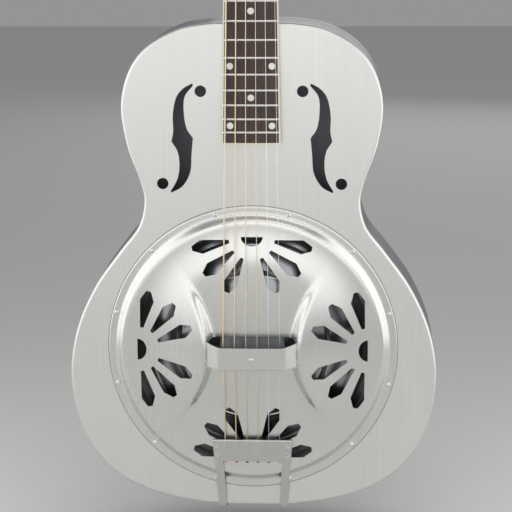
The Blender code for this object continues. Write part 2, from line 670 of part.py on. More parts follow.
def make_board():
    edge = BINDING + 0.05
    inner = [(board_half(BOARD_END) - edge, BOARD_END + edge), (board_half(NUT_Z) - edge, NUT_Z)]
    outer = [(board_half(BOARD_END), BOARD_END), (board_half(NUT_Z), NUT_Z)]
    board = inner + [(-x, z) for x, z in reversed(inner)]
    place("fingerboard", flat_solid("fingerboard", [board], 0, BOARD_THICK), ROSEWOOD, NECK)
    inner = [(x + 0.05, z - 0.05 * (z < 0)) for x, z in inner]
    right = [outer[0], outer[1], inner[1], inner[0]]
    strip = right + [(-x, z) for x, z in reversed(right)]
    place("fingerboard_binding", flat_solid("fingerboard_binding", [strip], 0, BOARD_THICK), CREAM, NECK)

    nut = place("nut", box("nut", (-BOARD_HALF_NUT, -1.9, NUT_Z + FINE_GAP),
                           (BOARD_HALF_NUT, BOARD_THICK - FINE_GAP, NUT_Z + NUT_THICK)), CREAM, NECK)
    for i, gauge in enumerate(GAUGES):
        x = spread(SPREAD_NUT, i)
        cut(nut, box(f"nut_slot_{i}", (x - gauge / 2 - 0.1, -4, NUT_Z - 2),
                     (x + gauge / 2 + 0.1, -ACTION_NUT + gauge / 2 + 0.2, NUT_Z + 9)), NECK)


# ---------------------------------------------------------------- tuners

def post_places():
    """Bass side from the nut up, then the treble side from the tip down: the order of the strings."""
    heights = [POST_FIRST + POST_STEP * i for i in range(3)]
    return [(-POST_X, z) for z in heights] + [(POST_X, z) for z in reversed(heights)]


def wheel_outline():
    """The gear, with a gap facing the worm."""
    loop = []
    step = 2 * math.pi / TEETH
    for i in range(TEETH):
        middle = math.pi / 2 + (i + 0.5) * step
        for offset, radius in ((-0.115, WHEEL_ROOT_R), (-0.042, WHEEL_TIP_R), (0.042, WHEEL_TIP_R),
                               (0.115, WHEEL_ROOT_R)):
            angle = middle + offset
            loop.append((radius * math.cos(angle), radius * math.sin(angle)))
    return loop


def worm_thread(name):
    """A ridge of trapezoid section wound right-handed on the worm, with a crest facing the wheel."""
    per_turn, turns = 8, 2.25
    count = round(per_turn * turns)
    foot = WORM_CORE_R - 0.3
    bm = bmesh.new()
    rings = []
    for i in range(count + 1):
        turned_by = 2 * math.pi * (i - count / 2) / per_turn
        angle = turned_by - math.pi / 2
        along = LEAD * turned_by / (2 * math.pi)
        rings.append([bm.verts.new((along + a, r * math.cos(angle), r * math.sin(angle)))
                      for a, r in ((-0.52, foot), (-0.2, WORM_TIP_R), (0.2, WORM_TIP_R), (0.52, foot))])
    for first, second in zip(rings, rings[1:]):
        wall_between(bm, first, second)
    bm.faces.new(rings[0])
    bm.faces.new(rings[-1])
    return mesh_from(name, bm)


def make_tuners():
    thread = worm_thread("worm_thread")
    for i, (x, z) in enumerate(post_places()):
        number = 6 - i
        side = -1 if x < 0 else 1
        worm_at = (x, WORM_Y, z + CENTRES)

        post = turned(f"tuner_post_{number}", [
            (0, POST_PROUD), (POST_R, POST_PROUD - 0.5), (POST_R, -WORM_Y - 2.4), (0, -WORM_Y - 2.4)],
            STEEL, 10, HEAD, at=(x, 0, z))
        wheel = flat_solid("wheel", [wheel_outline()], WORM_Y - 1.9, WORM_Y + 1.9)
        join(post, wheel, HEAD, at=(x, 0, z))

        shaft = rod("knob_shaft", SHAFT_R, (-side * EAR_OUT, 0, 0), (side * 21, 0, 0), 8)
        knob = place(f"tuner_knob_{number}", shaft, STEEL, HEAD, worm_at)
        core_end = EAR_IN - 0.2
        join(knob, rod("worm_core", WORM_CORE_R, (-core_end, 0, 0), (core_end, 0, 0), 10), HEAD, worm_at)
        join(knob, thread.copy(), HEAD, worm_at)
        join(knob, button_mesh(side), HEAD, worm_at)

        base = box("plate_base", (-9.5, PLATE_BACK - 1.2, -8), (9.5, PLATE_BACK, 13.5))
        plate = place(f"tuner_plate_{number}", base, STEEL, HEAD, (x, 0, z))
        for inner, outer in ((EAR_IN, EAR_OUT), (-EAR_OUT, -EAR_IN)):
            join(plate, box("ear", (inner, PLATE_BACK - 0.6, CENTRES - 3.6),
                            (outer, WORM_Y + 3.2, CENTRES + 3.6)), HEAD, (x, 0, z))
        cut(plate, rod("shaft_hole", SHAFT_R + 0.12, (-12, WORM_Y, CENTRES), (12, WORM_Y, CENTRES), 8), HEAD,
            (x, 0, z))
        cut(plate, rod("post_hole", POST_R + 0.3, (0, 0, 0), (0, PLATE_BACK + 1, 0), 12), HEAD, (x, 0, z))


def button_mesh(side):
    """The oval thumb piece on the worm's shaft."""
    bm = bmesh.new()
    bmesh.ops.create_uvsphere(bm, u_segments=8, v_segments=5, radius=1)
    bmesh.ops.scale(bm, vec=(7.5, 3.4, 9.5), verts=bm.verts)
    bmesh.ops.translate(bm, vec=(side * 26, 0, 0), verts=bm.verts)
    return mesh_from("button", bm)


# ---------------------------------------------------------------- strings

def string_line():
    """The strings' height above the face: at the nut, and how much it grows towards the saddle per mm."""
    at_nut = to_guitar((0, -ACTION_NUT, NUT_Z))
    at_joint = to_guitar((0, -ACTION_JOINT, 0))
    return at_nut, (at_nut.y - at_joint.y) / (at_nut.z - at_joint.z)


def string_height_at_saddle():
    at_nut, slope = string_line()
    return -(at_nut.y - slope * at_nut.z)


def string_height_at(z):
    """Behind the saddle the strings drop to the foot of the hood."""
    foot = 10.8
    return foot + (string_height_at_saddle() - foot) * (z - HOOD_FOOT_Z) / -HOOD_FOOT_Z


def make_strings():
    bpy.context.view_layer.update()
    for i, gauge in enumerate(GAUGES):
        number = 6 - i
        x, z = post_places()[i]
        side = -1 if x < 0 else 1
        points = [Vector((spread(SPREAD_TAIL, i), -string_height_at(HOOD_FOOT_Z - 2.2), HOOD_FOOT_Z - 2.2)),
                  Vector((spread(SPREAD_SADDLE, i), -string_height_at_saddle(), 0)),
                  to_guitar((spread(SPREAD_NUT, i), -ACTION_NUT, NUT_Z)),
                  to_guitar((spread(SPREAD_NUT, i), -ACTION_NUT + 0.1, NUT_Z + NUT_THICK))]
        wrap = POST_R + 0.2 + gauge / 2
        drop = gauge + 0.25
        for step in range(WIND_STEPS + 1):
            angle = 2 * math.pi * step / WIND_PER_TURN
            local = (x - side * wrap * math.cos(angle), WIND_START + drop * step / WIND_PER_TURN,
                     z + wrap * math.sin(angle))
            points.append(head_to_guitar(local))
        curve = bpy.data.curves.new(f"string_{number}", "CURVE")
        curve.dimensions = "3D"
        curve.bevel_depth = gauge / 2 * MM
        curve.bevel_resolution = 1
        curve.use_fill_caps = True
        spline = curve.splines.new("POLY")
        spline.points.add(len(points) - 1)
        for control, point in zip(spline.points, points):
            control.co = (*(point * MM), 1)
        curve.materials.append(BRONZE if number > 2 else STEEL)
        string = bpy.data.objects.new(f"string_{number}", curve)
        PARTS.objects.link(string)
        string.parent = GUITAR


def head_to_guitar(point):
    x, y, z = point
    c, s = math.cos(HEAD_ANGLE), math.sin(HEAD_ANGLE)
    return to_guitar((x, y * c + z * s + 4.0, -y * s + z * c + NUT_Z + NUT_THICK + 0.7))


make_body()
make_inside()
make_bridge()
make_cover()
make_tailpiece()
make_neck()
make_board()
make_tuners()
make_strings()
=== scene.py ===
"""Looks of the resonator guitar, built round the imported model.

Pieces are modelled in millimetres in one of three frames and baked into world metres.
  guitar     x to the treble side, y into the body from its front face, z up the neck from the saddle
  neck       on the fingerboard's surface at the body joint
  headstock  on the overlay's surface just past the nut
"""
import math

import bmesh
import bpy
from mathutils import Matrix, Vector


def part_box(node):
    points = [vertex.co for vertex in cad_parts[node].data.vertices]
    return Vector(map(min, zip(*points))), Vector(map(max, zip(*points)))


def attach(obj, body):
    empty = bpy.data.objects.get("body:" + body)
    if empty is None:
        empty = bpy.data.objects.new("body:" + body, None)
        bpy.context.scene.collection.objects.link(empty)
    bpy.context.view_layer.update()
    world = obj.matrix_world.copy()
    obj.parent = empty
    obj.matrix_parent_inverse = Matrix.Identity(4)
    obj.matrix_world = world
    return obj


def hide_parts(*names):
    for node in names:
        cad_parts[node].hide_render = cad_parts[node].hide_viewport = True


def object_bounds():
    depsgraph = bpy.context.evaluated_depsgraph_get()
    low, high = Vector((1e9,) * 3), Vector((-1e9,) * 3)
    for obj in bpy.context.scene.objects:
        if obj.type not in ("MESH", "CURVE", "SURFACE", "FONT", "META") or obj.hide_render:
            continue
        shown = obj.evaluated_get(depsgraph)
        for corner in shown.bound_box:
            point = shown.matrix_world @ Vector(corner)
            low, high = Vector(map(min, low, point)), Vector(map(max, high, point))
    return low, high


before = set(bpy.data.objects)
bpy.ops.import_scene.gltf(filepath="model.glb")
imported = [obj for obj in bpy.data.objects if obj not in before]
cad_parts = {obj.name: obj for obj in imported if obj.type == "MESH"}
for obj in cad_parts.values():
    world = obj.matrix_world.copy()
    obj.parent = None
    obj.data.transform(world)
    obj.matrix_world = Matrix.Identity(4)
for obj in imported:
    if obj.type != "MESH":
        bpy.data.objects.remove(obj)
CAD_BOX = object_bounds()
MM = 0.001

# -------- frames, read from the CAD

face_low, face_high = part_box("body_top")
plate_low, plate_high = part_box("cover_plate")
FACE_Y = face_low[1] / MM
SADDLE_Z = (plate_low[2] + plate_high[2]) / 2 / MM
BODY_TOP = face_high[2] / MM - SADDLE_Z
BODY_TAIL = face_low[2] / MM - SADDLE_Z
COVER_R = (plate_high[0] - plate_low[0]) / 2 / MM
DOME_TOP = FACE_Y - plate_low[1] / MM

SCALE, JOINT_Z = 635.0, 321.0
NECK_ANGLE, HEAD_ANGLE = math.radians(2.2), math.radians(14.5)
BOARD_PROUD, BOARD_THICK = 8.0, 6.0
NUT_Z, NUT_THICK, BOARD_END = SCALE / 2, 5.0, -117.2
BOARD_HALF_NUT, BOARD_HALF_END, BINDING, BOARD_RADIUS = 21.6, 28.2, 1.5, 305.0

GUITAR = Matrix.Translation((0, FACE_Y, SADDLE_Z))
NECK = GUITAR @ Matrix.Translation((0, -BOARD_PROUD, JOINT_Z)) @ Matrix.Rotation(-NECK_ANGLE, 4, "X")
HEAD = NECK @ Matrix.Translation((0, 4.0, NUT_Z + NUT_THICK + 0.7)) @ Matrix.Rotation(-HEAD_ANGLE, 4, "X")

FINE_GAP, SHEET, SKIRT, FACE_EDGE_R = 0.1, 1.0, 6.0, 3.0
DEPTH_AT_TAIL, DEPTH_TAPER = 84.0, 0.0229
OUTLINE = [
    (0, BODY_TOP), (28, BODY_TOP), (44, 317.9), (71, 312.8), (99, 297.5), (118, 273), (126.3, 239),
    (120.8, 199.5), (108.5, 164), (105.2, 144), (111.3, 120.5), (129.5, 96.5), (153.6, 63), (171.5, 25),
    (180, -12), (180.3, -42), (174.2, -74), (161, -104), (134.5, -132.5), (96, -151), (48, -160.7),
    (0, BODY_TAIL),
]
CONE_R, DOME_R, FLANGE_IN = 120.5, 127.0, 135.5
DOME_FOOT, TROUGH, FLANGE_TOP = 7.0, 12.0, 1.1
TROUGH_FALL, TROUGH_LEAST, MOUTH_LIP = 4e-4, 7.6, 0.6
TROUGH_HALF, WIDENS_UP, WIDENS_DOWN = 41.0, 0.0048, 0.0063
EDGE_ROLL_R, FACE_MOUTH_R = 140.9, 121.5
SCREW_CIRCLE, SCREWS, FACE_SCREW_R, PLATE_SCREW_R = 138.1, 12, 1.7, 1.9
BAND_LOW, BAND_HIGH = -14.4, 7.4
ROSETTE_R = 113.0
HOOD_Z, HOOD_FOOT_Z, HOOD_TOP, HOOD_FOOT = -91.0, -111.5, 17.2, 14.2
HOOD_LEAN = math.atan2(HOOD_TOP - HOOD_FOOT, HOOD_Z - HOOD_FOOT_Z)
HOOD_LAP, HOOD_HALF, HOOD_ROLL_R, STRAP_THICK = 2.2, 29.4, 1.3, 1.5
PIN_Y, PIN_R = 40.0, 3.4
STICK_HALF, STICK_NEAR, STICK_FAR = 14.3, 37.7, 64.3
GAUGES = [1.35, 1.07, 0.81, 0.61, 0.41, 0.31]
SPREAD_NUT, SPREAD_SADDLE, SPREAD_TAIL = 37.5, 55.5, 53.2
ACTION_NUT, ACTION_JOINT, STRING_FOOT = 1.7, 3.4, 10.8
OVERLAY, HEAD_THICK, HEAD_LONG = 1.5, 14.0, 188.0
HEAD_FRONT = OVERLAY + 0.2
POST_X, POST_FIRST, POST_STEP, POST_R, POST_PROUD = 20.0, 34.0, 40.0, 3.0, 11.0
BORE_R = POST_R + 0.9
PLATE_BACK = HEAD_FRONT + HEAD_THICK + 1.4
WORM_Y, CENTRES = PLATE_BACK + 3.4, 7.75
TEETH, WHEEL_TIP_R, WHEEL_PITCH_R, WHEEL_ROOT_R = 18, 5.6, 5.15, 4.55
WORM_CORE_R, WORM_TIP_R, LEAD = 2.0, 3.0, 2 * math.pi * WHEEL_PITCH_R / TEETH
SHAFT_R, EAR_IN, EAR_OUT, EAR_R = 1.5, 4.6, 6.2, 3.6
BUTTON_X, BUTTON_HALF = 26, (7.45, 3.35, 9.4)
WIND_START, WIND_PER_TURN, WIND_STEPS = -6.9, 12, 22


# -------- objects and moves

SCRATCH = bpy.data.collections.new("scratch")
bpy.context.scene.collection.children.link(SCRATCH)


def placed(name, data, collection=bpy.context.scene.collection):
    """A new object that holds data, linked to a collection."""
    made = bpy.data.objects.new(name, data)
    collection.objects.link(made)
    return made


def shift(x, y, z):
    return Matrix.Translation((x, y, z))


def quarter_turns(axis, count):
    return Matrix.Rotation(math.pi / 2 * count, 4, axis)


# -------- camera, light and floor

def make_camera():
    yaw, pitch, roll = math.radians(-2.903), math.radians(11.94), math.radians(-0.264)
    forward = Vector((math.sin(yaw) * math.cos(pitch), math.cos(yaw) * math.cos(pitch), -math.sin(pitch)))
    up = Vector((math.sin(yaw) * math.sin(pitch), math.cos(yaw) * math.sin(pitch), math.cos(pitch)))
    right = Vector((math.cos(yaw), -math.sin(yaw), 0))
    level_right = right * math.cos(roll) + up * math.sin(roll)
    level_up = up * math.cos(roll) - right * math.sin(roll)
    camera = bpy.data.cameras.new("camera")
    camera.lens, camera.sensor_width = 129.33, 36
    camera.clip_start, camera.clip_end = 0.05, 50
    holder = placed("camera", camera)
    turn = Matrix((level_right, level_up, -forward)).transposed().to_4x4()
    holder.matrix_world = Matrix.Translation((GUITAR @ Vector((92.4, -1750, 463.2))) * MM) @ turn
    bpy.context.scene.camera = holder


def area_light(name, from_plate, size, radiance, colour=(1, 1, 1)):
    """A soft box aimed at the plate's centre, placed in metres from it."""
    light = bpy.data.lights.new(name, "AREA")
    light.shape = "RECTANGLE"
    light.size, light.size_y = size
    light.energy = radiance * math.pi * size[0] * size[1]
    light.color = colour
    holder = placed(name, light)
    holder.location = Vector(from_plate) + Vector((0, 0, SADDLE_Z * MM))
    holder.rotation_euler = (-Vector(from_plate)).to_track_quat("-Z", "Y").to_euler()


def make_stage():
    world = bpy.data.worlds.new("studio")
    world.use_nodes = True
    background = world.node_tree.nodes["Background"]
    background.inputs["Color"].default_value = (0.30, 0.30, 0.31, 1)
    background.inputs["Strength"].default_value = 1.0
    bpy.context.scene.world = world
    for side in (-1, 1):
        area_light(f"side_softbox_{side}", (side * 0.62, -0.2, 0.24), (0.9, 0.8), 1.1)
    area_light("front_softbox", (-0.2, -3.2, 0.05), (3.6, 3.0), 1.1)
    area_light("top_softbox", (0.2, -1.6, 2.4), (2.4, 1.6), 1.1, (1, 0.96, 0.90))
    area_light("back_softbox", (0.6, 3.0, 1.2), (2.0, 2.0), 0.6)
    floor_mesh = bpy.data.meshes.new("floor")
    bm = bmesh.new()
    bmesh.ops.create_grid(bm, x_segments=1, y_segments=1, size=6)
    bm.to_mesh(floor_mesh)
    bm.free()
    floor = placed("floor", floor_mesh)
    floor.location = (0, 0, CAD_BOX[0][2] - 0.02)
    paper = bpy.data.materials.new("floor_paper")
    paper.use_nodes = True
    shader = paper.node_tree.nodes["Principled BSDF"]
    shader.inputs["Base Color"].default_value = (0.72, 0.72, 0.71, 1)
    shader.inputs["Roughness"].default_value = 0.8
    floor_mesh.materials.append(paper)
    bpy.context.scene.view_settings.view_transform = "Standard"


# -------- materials

class Nodes:
    """A Principled material being wired."""

    def __init__(self, name, colour, roughness, metallic=0.0, **sockets):
        self.material = bpy.data.materials.new(name)
        self.material.use_nodes = True
        self.tree = self.material.node_tree
        self.shader = self.tree.nodes["Principled BSDF"]
        self.set("Base Color", (*colour, 1))
        self.set("Roughness", roughness)
        self.set("Metallic", metallic)
        for socket, value in sockets.items():
            self.set(socket.replace("_", " "), value)
        self.place = self.add("ShaderNodeTexCoord", {}).outputs["Object"]

    def set(self, socket, value):
        self.shader.inputs[socket].default_value = value

    def add(self, kind, inputs, **settings):
        node = self.tree.nodes.new(kind)
        for key, value in settings.items():
            setattr(node, key, value)
        for socket, value in inputs.items():
            node.inputs[socket].default_value = value
        return node

    def link(self, a, b):
        self.tree.links.new(a, b)

    def stretched(self, scale, offset=(0, 0, 0)):
        mapping = self.add("ShaderNodeMapping", {"Location": offset, "Scale": scale})
        self.link(self.place, mapping.inputs["Vector"])
        return mapping.outputs["Vector"]

    def across_plate(self):
        """The place seen along y, measured from the plate's centre."""
        return self.stretched((1, 0, 1), (0, 0, -SADDLE_Z * MM))

    def noise(self, scale, size=1.0, detail=4.0, roughness=0.5, distortion=0.0):
        inputs = {"Scale": size, "Detail": detail, "Roughness": roughness, "Distortion": distortion}
        node = self.add("ShaderNodeTexNoise", inputs)
        self.link(self.stretched(scale), node.inputs["Vector"])
        return node.outputs["Fac"]

    def wave(self, place, inputs, **settings):
        node = self.add("ShaderNodeTexWave", inputs, **settings)
        self.link(place, node.inputs["Vector"])
        return node.outputs["Fac"]

    def range(self, value, low, high, from_low=0.3, from_high=0.7):
        ends = {"From Min": from_low, "From Max": from_high, "To Min": low, "To Max": high}
        node = self.add("ShaderNodeMapRange", ends)
        self.link(value, node.inputs["Value"])
        return node.outputs["Result"]

    def ramp(self, value, stops):
        node = self.add("ShaderNodeValToRGB", {})
        band = node.color_ramp
        while len(band.elements) < len(stops):
            band.elements.new(0.5)
        for element, (at, colour) in zip(band.elements, stops):
            element.position, element.color = at, (*colour, 1)
        self.link(value, node.inputs["Fac"])
        return node.outputs["Color"]

    def ring_of_painted_shadow(self, colour, radius, width, depth=0.45):
        """Paints a thin dark ring about the plate's centre: a painted shadow along the plate's edge."""
        length = self.add("ShaderNodeVectorMath", {}, operation="LENGTH")
        near = self.add("ShaderNodeMath", {1: radius, 2: width / 2}, operation="COMPARE")
        shadow_tone = {7: (depth, depth, depth, 1)}
        mix = self.add("ShaderNodeMix", shadow_tone, data_type="RGBA", blend_type="MULTIPLY")
        self.link(self.across_plate(), length.inputs[0])
        self.link(length.outputs["Value"], near.inputs[0])
        self.link(near.outputs["Value"], mix.inputs[0])
        self.link(colour, mix.inputs[6])
        return mix.outputs[2]

    def bump(self, height, distance):
        node = self.add("ShaderNodeBump", {"Distance": distance, "Strength": 1.0})
        self.link(height, node.inputs["Height"])
        self.link(node.outputs["Normal"], self.shader.inputs["Normal"])

    def drive(self, value, socket):
        self.link(value, self.shader.inputs[socket])


def shade(colour, factor):
    return [min(1, c * factor) for c in colour]


def brushed(name, colour, lines, roughness, spread=0.06, bump=2e-5, vary=0.06, edge_shadow=None):
    """Metal with fine brush lines; lines is the texture's scale along each axis, large across the lines.
    edge_shadow is the radius and width in metres of a painted shadow ring about the plate's centre."""
    m = Nodes(name, colour, roughness, 1.0)
    fine = m.noise(lines, detail=3, roughness=0.6)
    broad = m.noise((3, 3, 1.5), size=2.0, detail=2)
    tone = m.ramp(fine, [(0.3, shade(colour, 1 - vary)), (0.7, shade(colour, 1 + vary))])
    m.drive(m.ring_of_painted_shadow(tone, *edge_shadow) if edge_shadow else tone, "Base Color")
    mixed = m.add("ShaderNodeMath", {1: 0.7}, operation="MULTIPLY_ADD")
    m.link(fine, mixed.inputs[0])
    m.link(broad, mixed.inputs[2])
    m.drive(m.range(mixed.outputs[0], roughness - spread, roughness + spread, 0.6, 1.1), "Roughness")
    m.bump(fine, bump)
    return m.material


def ringed(name, colour, roughness, per_metre, bump):
    """Spun metal: rings about the y axis through the plate's centre, painted darker in their low parts as
    painted shade.
    """
    m = Nodes(name, colour, roughness, 1.0)
    inputs = {"Scale": per_metre, "Detail": 2, "Distortion": 0.4}
    wave = m.wave(m.across_plate(), inputs, wave_type="RINGS", rings_direction="SPHERICAL")
    m.drive(m.ramp(wave, [(0.0, shade(colour, 0.75)), (1.0, colour)]), "Base Color")
    m.bump(wave, bump)
    return m.material


def wood(name, dark, light, roughness, grain, pore=4e-5, coat=0.0):
    """Wood with its grain along z; grain is the texture's scale across it."""
    m = Nodes(name, light, roughness, Coat_Weight=coat, Coat_Roughness=0.12)
    figure = m.noise((grain, grain, grain / 14), detail=6, roughness=0.65, distortion=0.4)
    pores = m.noise((grain * 8, grain * 8, grain / 3), detail=2)
    middle = [(a + b) / 2 for a, b in zip(dark, light)]
    m.drive(m.ramp(figure, [(0.3, dark), (0.52, middle), (0.72, light)]), "Base Color")
    m.drive(m.range(pores, roughness - 0.08, roughness + 0.12), "Roughness")
    m.bump(m.range(pores, 0, 1, 0.38, 0.5), pore)
    return m.material


def polished(name, colour, roughness=0.12):
    m = Nodes(name, colour, roughness, 1.0)
    smudge = m.noise((60, 60, 60), detail=3)
    m.drive(m.range(smudge, roughness * 0.7, roughness * 1.6), "Roughness")
    m.bump(m.noise((900, 900, 900), detail=2), 4e-6)
    return m.material


def plastic(name, colour, roughness=0.3, vary=0.08):
    m = Nodes(name, colour, roughness, Coat_Weight=0.2, Coat_Roughness=0.1)
    cloud = m.noise((90, 90, 40), detail=3)
    m.drive(m.ramp(cloud, [(0.3, shade(colour, 1 - vary)), (0.7, colour)]), "Base Color")
    m.drive(m.range(m.noise((400, 400, 400)), roughness * 0.8, roughness * 1.3), "Roughness")
    m.bump(m.noise((1500, 1500, 1500), detail=2), 3e-6)
    return m.material


def wound(name, colour, turns_per_metre):
    """A wound string: fine ridges round the wire, along z, painted darker in the grooves between them as
    painted shade.
    """
    m = Nodes(name, colour, 0.3, 1.0)
    wave = m.wave(m.place, {"Scale": turns_per_metre / 20}, wave_type="BANDS", bands_direction="Z")
    m.drive(m.ramp(wave, [(0.0, shade(colour, 0.6)), (0.6, colour)]), "Base Color")
    m.bump(wave, 8e-5)
    return m.material


SHELL = {"colour": (0.745, 0.75, 0.72), "lines": (1400, 60, 8), "roughness": 0.36, "spread": 0.03,
         "bump": 8e-6, "vary": 0.035}
NICKEL = brushed("brushed_nickel", **SHELL)
# The face carries a painted shadow ring just outside the cover plate's edge.
NICKEL_FRONT = brushed("brushed_nickel_front", edge_shadow=(0.1424, 0.0009), **SHELL)
# The rim is the same nickel painted far darker: a painted reflection of the dark surroundings its sides face.
NICKEL_RIM_PAINTED_DARK = brushed("brushed_nickel_rim_painted_reflection", (0.28, 0.265, 0.285), (60, 60, 900), 0.34)
NICKEL_PLATE = brushed("satin_nickel_plate", (0.73, 0.735, 0.705), (600, 600, 40), 0.27, spread=0.02,
                       bump=3e-6, vary=0.015)
NICKEL_TAIL = brushed("brushed_nickel_tail", (0.60, 0.60, 0.585), (1200, 200, 40), 0.27, spread=0.04)
# The well is dark grey, darkened in part as painted shade for the inside of the body.
WELL = brushed("well_metal", (0.30, 0.30, 0.30), (80, 400, 80), 0.5)
CONE_METAL = ringed("spun_aluminium", (0.42, 0.43, 0.44), 0.22, 140, bump=3e-6)
# The inner faces of the shells and the cover plate's underside: darker grey than the nickel, partly the
# body's darker inside and partly painted shade, so that the cone's reflections of the plate's underside stay
# dark.
DARK_INSIDE_AND_SHADE = brushed("dark_inside_and_painted_shade", (0.42, 0.43, 0.46), (90, 90, 300), 0.5)
STEEL = polished("polished_steel", (0.74, 0.73, 0.71))
RIVET_CORE = polished("rivet_core", (0.50, 0.46, 0.40), 0.35)
MAHOGANY = wood("mahogany", (0.055, 0.018, 0.010), (0.16, 0.06, 0.03), 0.3, 180, coat=0.5)
ROSEWOOD = wood("rosewood", (0.020, 0.013, 0.011), (0.085, 0.052, 0.040), 0.5, 420, pore=8e-5)
MAPLE = wood("maple", (0.45, 0.30, 0.16), (0.66, 0.48, 0.28), 0.45, 150)
EBONY = wood("stained_ebony", (0.10, 0.11, 0.115), (0.21, 0.225, 0.235), 0.42, 260)
BLACK = plastic("black_gloss", (0.012, 0.012, 0.013), 0.12)
CREAM = plastic("cream_plastic", (0.80, 0.74, 0.58))
PEARL = plastic("pearl_dot", (0.86, 0.86, 0.80), 0.2, vary=0.14)
BRONZE = wound("phosphor_bronze", (1.0, 0.80, 0.58), 2600)
PLAIN = polished("plain_string", (0.95, 0.95, 0.93), 0.25)
FRET = polished("fret_nickel", (0.72, 0.71, 0.68), 0.18)
GEAR = brushed("gear_brass", (0.72, 0.56, 0.30), (200, 200, 200), 0.3)


# -------- mesh helpers

def evaluated(holder):
    """The mesh that an object gives with its modifiers, or a curve with its thickness."""
    bpy.context.view_layer.update()
    return bpy.data.meshes.new_from_object(holder.evaluated_get(bpy.context.evaluated_depsgraph_get()))


def curve_mesh(curve, lines, closed=False):
    """The mesh of a curve that runs straight from point to point of each line."""
    for line in lines:
        spline = curve.splines.new("POLY")
        spline.points.add(len(line) - 1)
        for control, point in zip(spline.points, line):
            control.co = (*point, 1)
        spline.use_cyclic_u = closed
    holder = placed("curve", curve, SCRATCH)
    mesh = evaluated(holder)
    bpy.data.objects.remove(holder)
    bpy.data.curves.remove(curve)
    return mesh


def mesh_from(bm, normals=True):
    if normals:
        bmesh.ops.recalc_face_normals(bm, faces=bm.faces)
        closed = all(edge.is_manifold for edge in bm.edges)
        if closed and bm.calc_volume(signed=True) < 0:
            bmesh.ops.reverse_faces(bm, faces=bm.faces)
    mesh = bpy.data.meshes.new("mesh")
    bm.to_mesh(mesh)
    bm.free()
    return mesh


def flat_solid(outlines, y_front, y_back):
    """A plate between two depths. Each outline is a closed loop of (x, z) points."""
    curve = bpy.data.curves.new("outline", "CURVE")
    curve.dimensions = "2D"
    curve.fill_mode = "BOTH"
    curve.extrude = (y_back - y_front) / 2
    spare = curve_mesh(curve, [[(x, z, 0) for x, z in outline] for outline in outlines], closed=True)
    bm = bmesh.new()
    bm.from_mesh(spare)
    bpy.data.meshes.remove(spare)
    bmesh.ops.remove_doubles(bm, verts=bm.verts, dist=1e-3)
    bmesh.ops.rotate(bm, verts=bm.verts, matrix=Matrix.Rotation(math.pi / 2, 3, "X"))
    bmesh.ops.translate(bm, verts=bm.verts, vec=(0, (y_front + y_back) / 2, 0))
    return mesh_from(bm)


def box(low, high):
    bm = bmesh.new()
    bmesh.ops.create_cube(bm, size=1)
    low, high = Vector(low), Vector(high)
    bmesh.ops.scale(bm, vec=high - low, verts=bm.verts)
    bmesh.ops.translate(bm, vec=(low + high) / 2, verts=bm.verts)
    return mesh_from(bm)


def rod(radius, start, end, sides=48):
    start, end = Vector(start), Vector(end)
    span = end - start
    bm = bmesh.new()
    bmesh.ops.create_cone(bm, cap_ends=True, segments=sides, radius1=radius, radius2=radius,
                          depth=span.length)
    turn = span.to_track_quat("Z", "Y").to_matrix().to_4x4()
    bmesh.ops.transform(bm, matrix=Matrix.Translation((start + end) / 2) @ turn, verts=bm.verts)
    return mesh_from(bm)


def turned(profile, sides=48, turn=quarter_turns("X", 1), at=(0, 0, 0)):
    """A profile of (radius, height) turned about its height, which points towards -y by default.
    A profile that starts off the axis is a closed loop."""
    bm = bmesh.new()
    rings = []
    for radius, height in profile:
        if radius < 1e-6:
            rings.append([bm.verts.new((0, 0, height))])
            continue
        rings.append([bm.verts.new((radius * math.cos(a), radius * math.sin(a), height))
                      for a in (2 * math.pi * i / sides for i in range(sides))])
    pairs = list(zip(rings, rings[1:]))
    if profile[0][0] > 0:
        pairs.append((rings[-1], rings[0]))
    for first, second in pairs:
        for i in range(sides):
            k = (i + 1) % sides
            corners = [ring[j % len(ring)] for ring, j in ((first, i), (first, k), (second, k), (second, i))]
            bm.faces.new(list(dict.fromkeys(corners)))
    bmesh.ops.transform(bm, matrix=Matrix.Translation(at) @ turn, verts=bm.verts)
    return mesh_from(bm)


def wall_between(bm, first, second):
    for i in range(len(first)):
        k = (i + 1) % len(first)
        bm.faces.new((first[i], first[k], second[k], second[i]))


def loft(rings, capped=True):
    bm = bmesh.new()
    loops = [[bm.verts.new(p) for p in ring] for ring in rings]
    for first, second in zip(loops, loops[1:]):
        wall_between(bm, first, second)
    if capped:
        bm.faces.new(loops[0])
        bm.faces.new(loops[-1])
    return mesh_from(bm)


def shaped(mesh, *steps):
    """The mesh after modifiers. A step is a modifier type with its settings, or a mesh with an operation."""
    holder = placed("shaping", mesh, SCRATCH)
    helpers = []
    for step in steps:
        if isinstance(step[0], bpy.types.Mesh):
            other = placed("helper", step[0], SCRATCH)
            helpers.append(other)
            modifier = holder.modifiers.new("solid", "BOOLEAN")
            modifier.object, modifier.operation = other, step[1]
            modifier.use_self = len(step) > 2
        else:
            modifier = holder.modifiers.new("shape", step[0])
            for key, value in step[1].items():
                setattr(modifier, key, value)
    result = evaluated(holder)
    for thing in [holder] + helpers:
        spare = thing.data
        bpy.data.objects.remove(thing)
        bpy.data.meshes.remove(spare)
    return result


def joined(*meshes):
    return [(mesh, "UNION") for mesh in meshes]


def cut(*meshes):
    return [(mesh, "DIFFERENCE") for mesh in meshes]


def bevel(width, segments, angle):
    return ("BEVEL", {"width": width, "segments": segments, "limit_method": "ANGLE",
                      "angle_limit": math.radians(angle), "harden_normals": False})


def wall(thickness):
    return ("SOLIDIFY", {"thickness": thickness, "offset": -1, "use_even_offset": True})


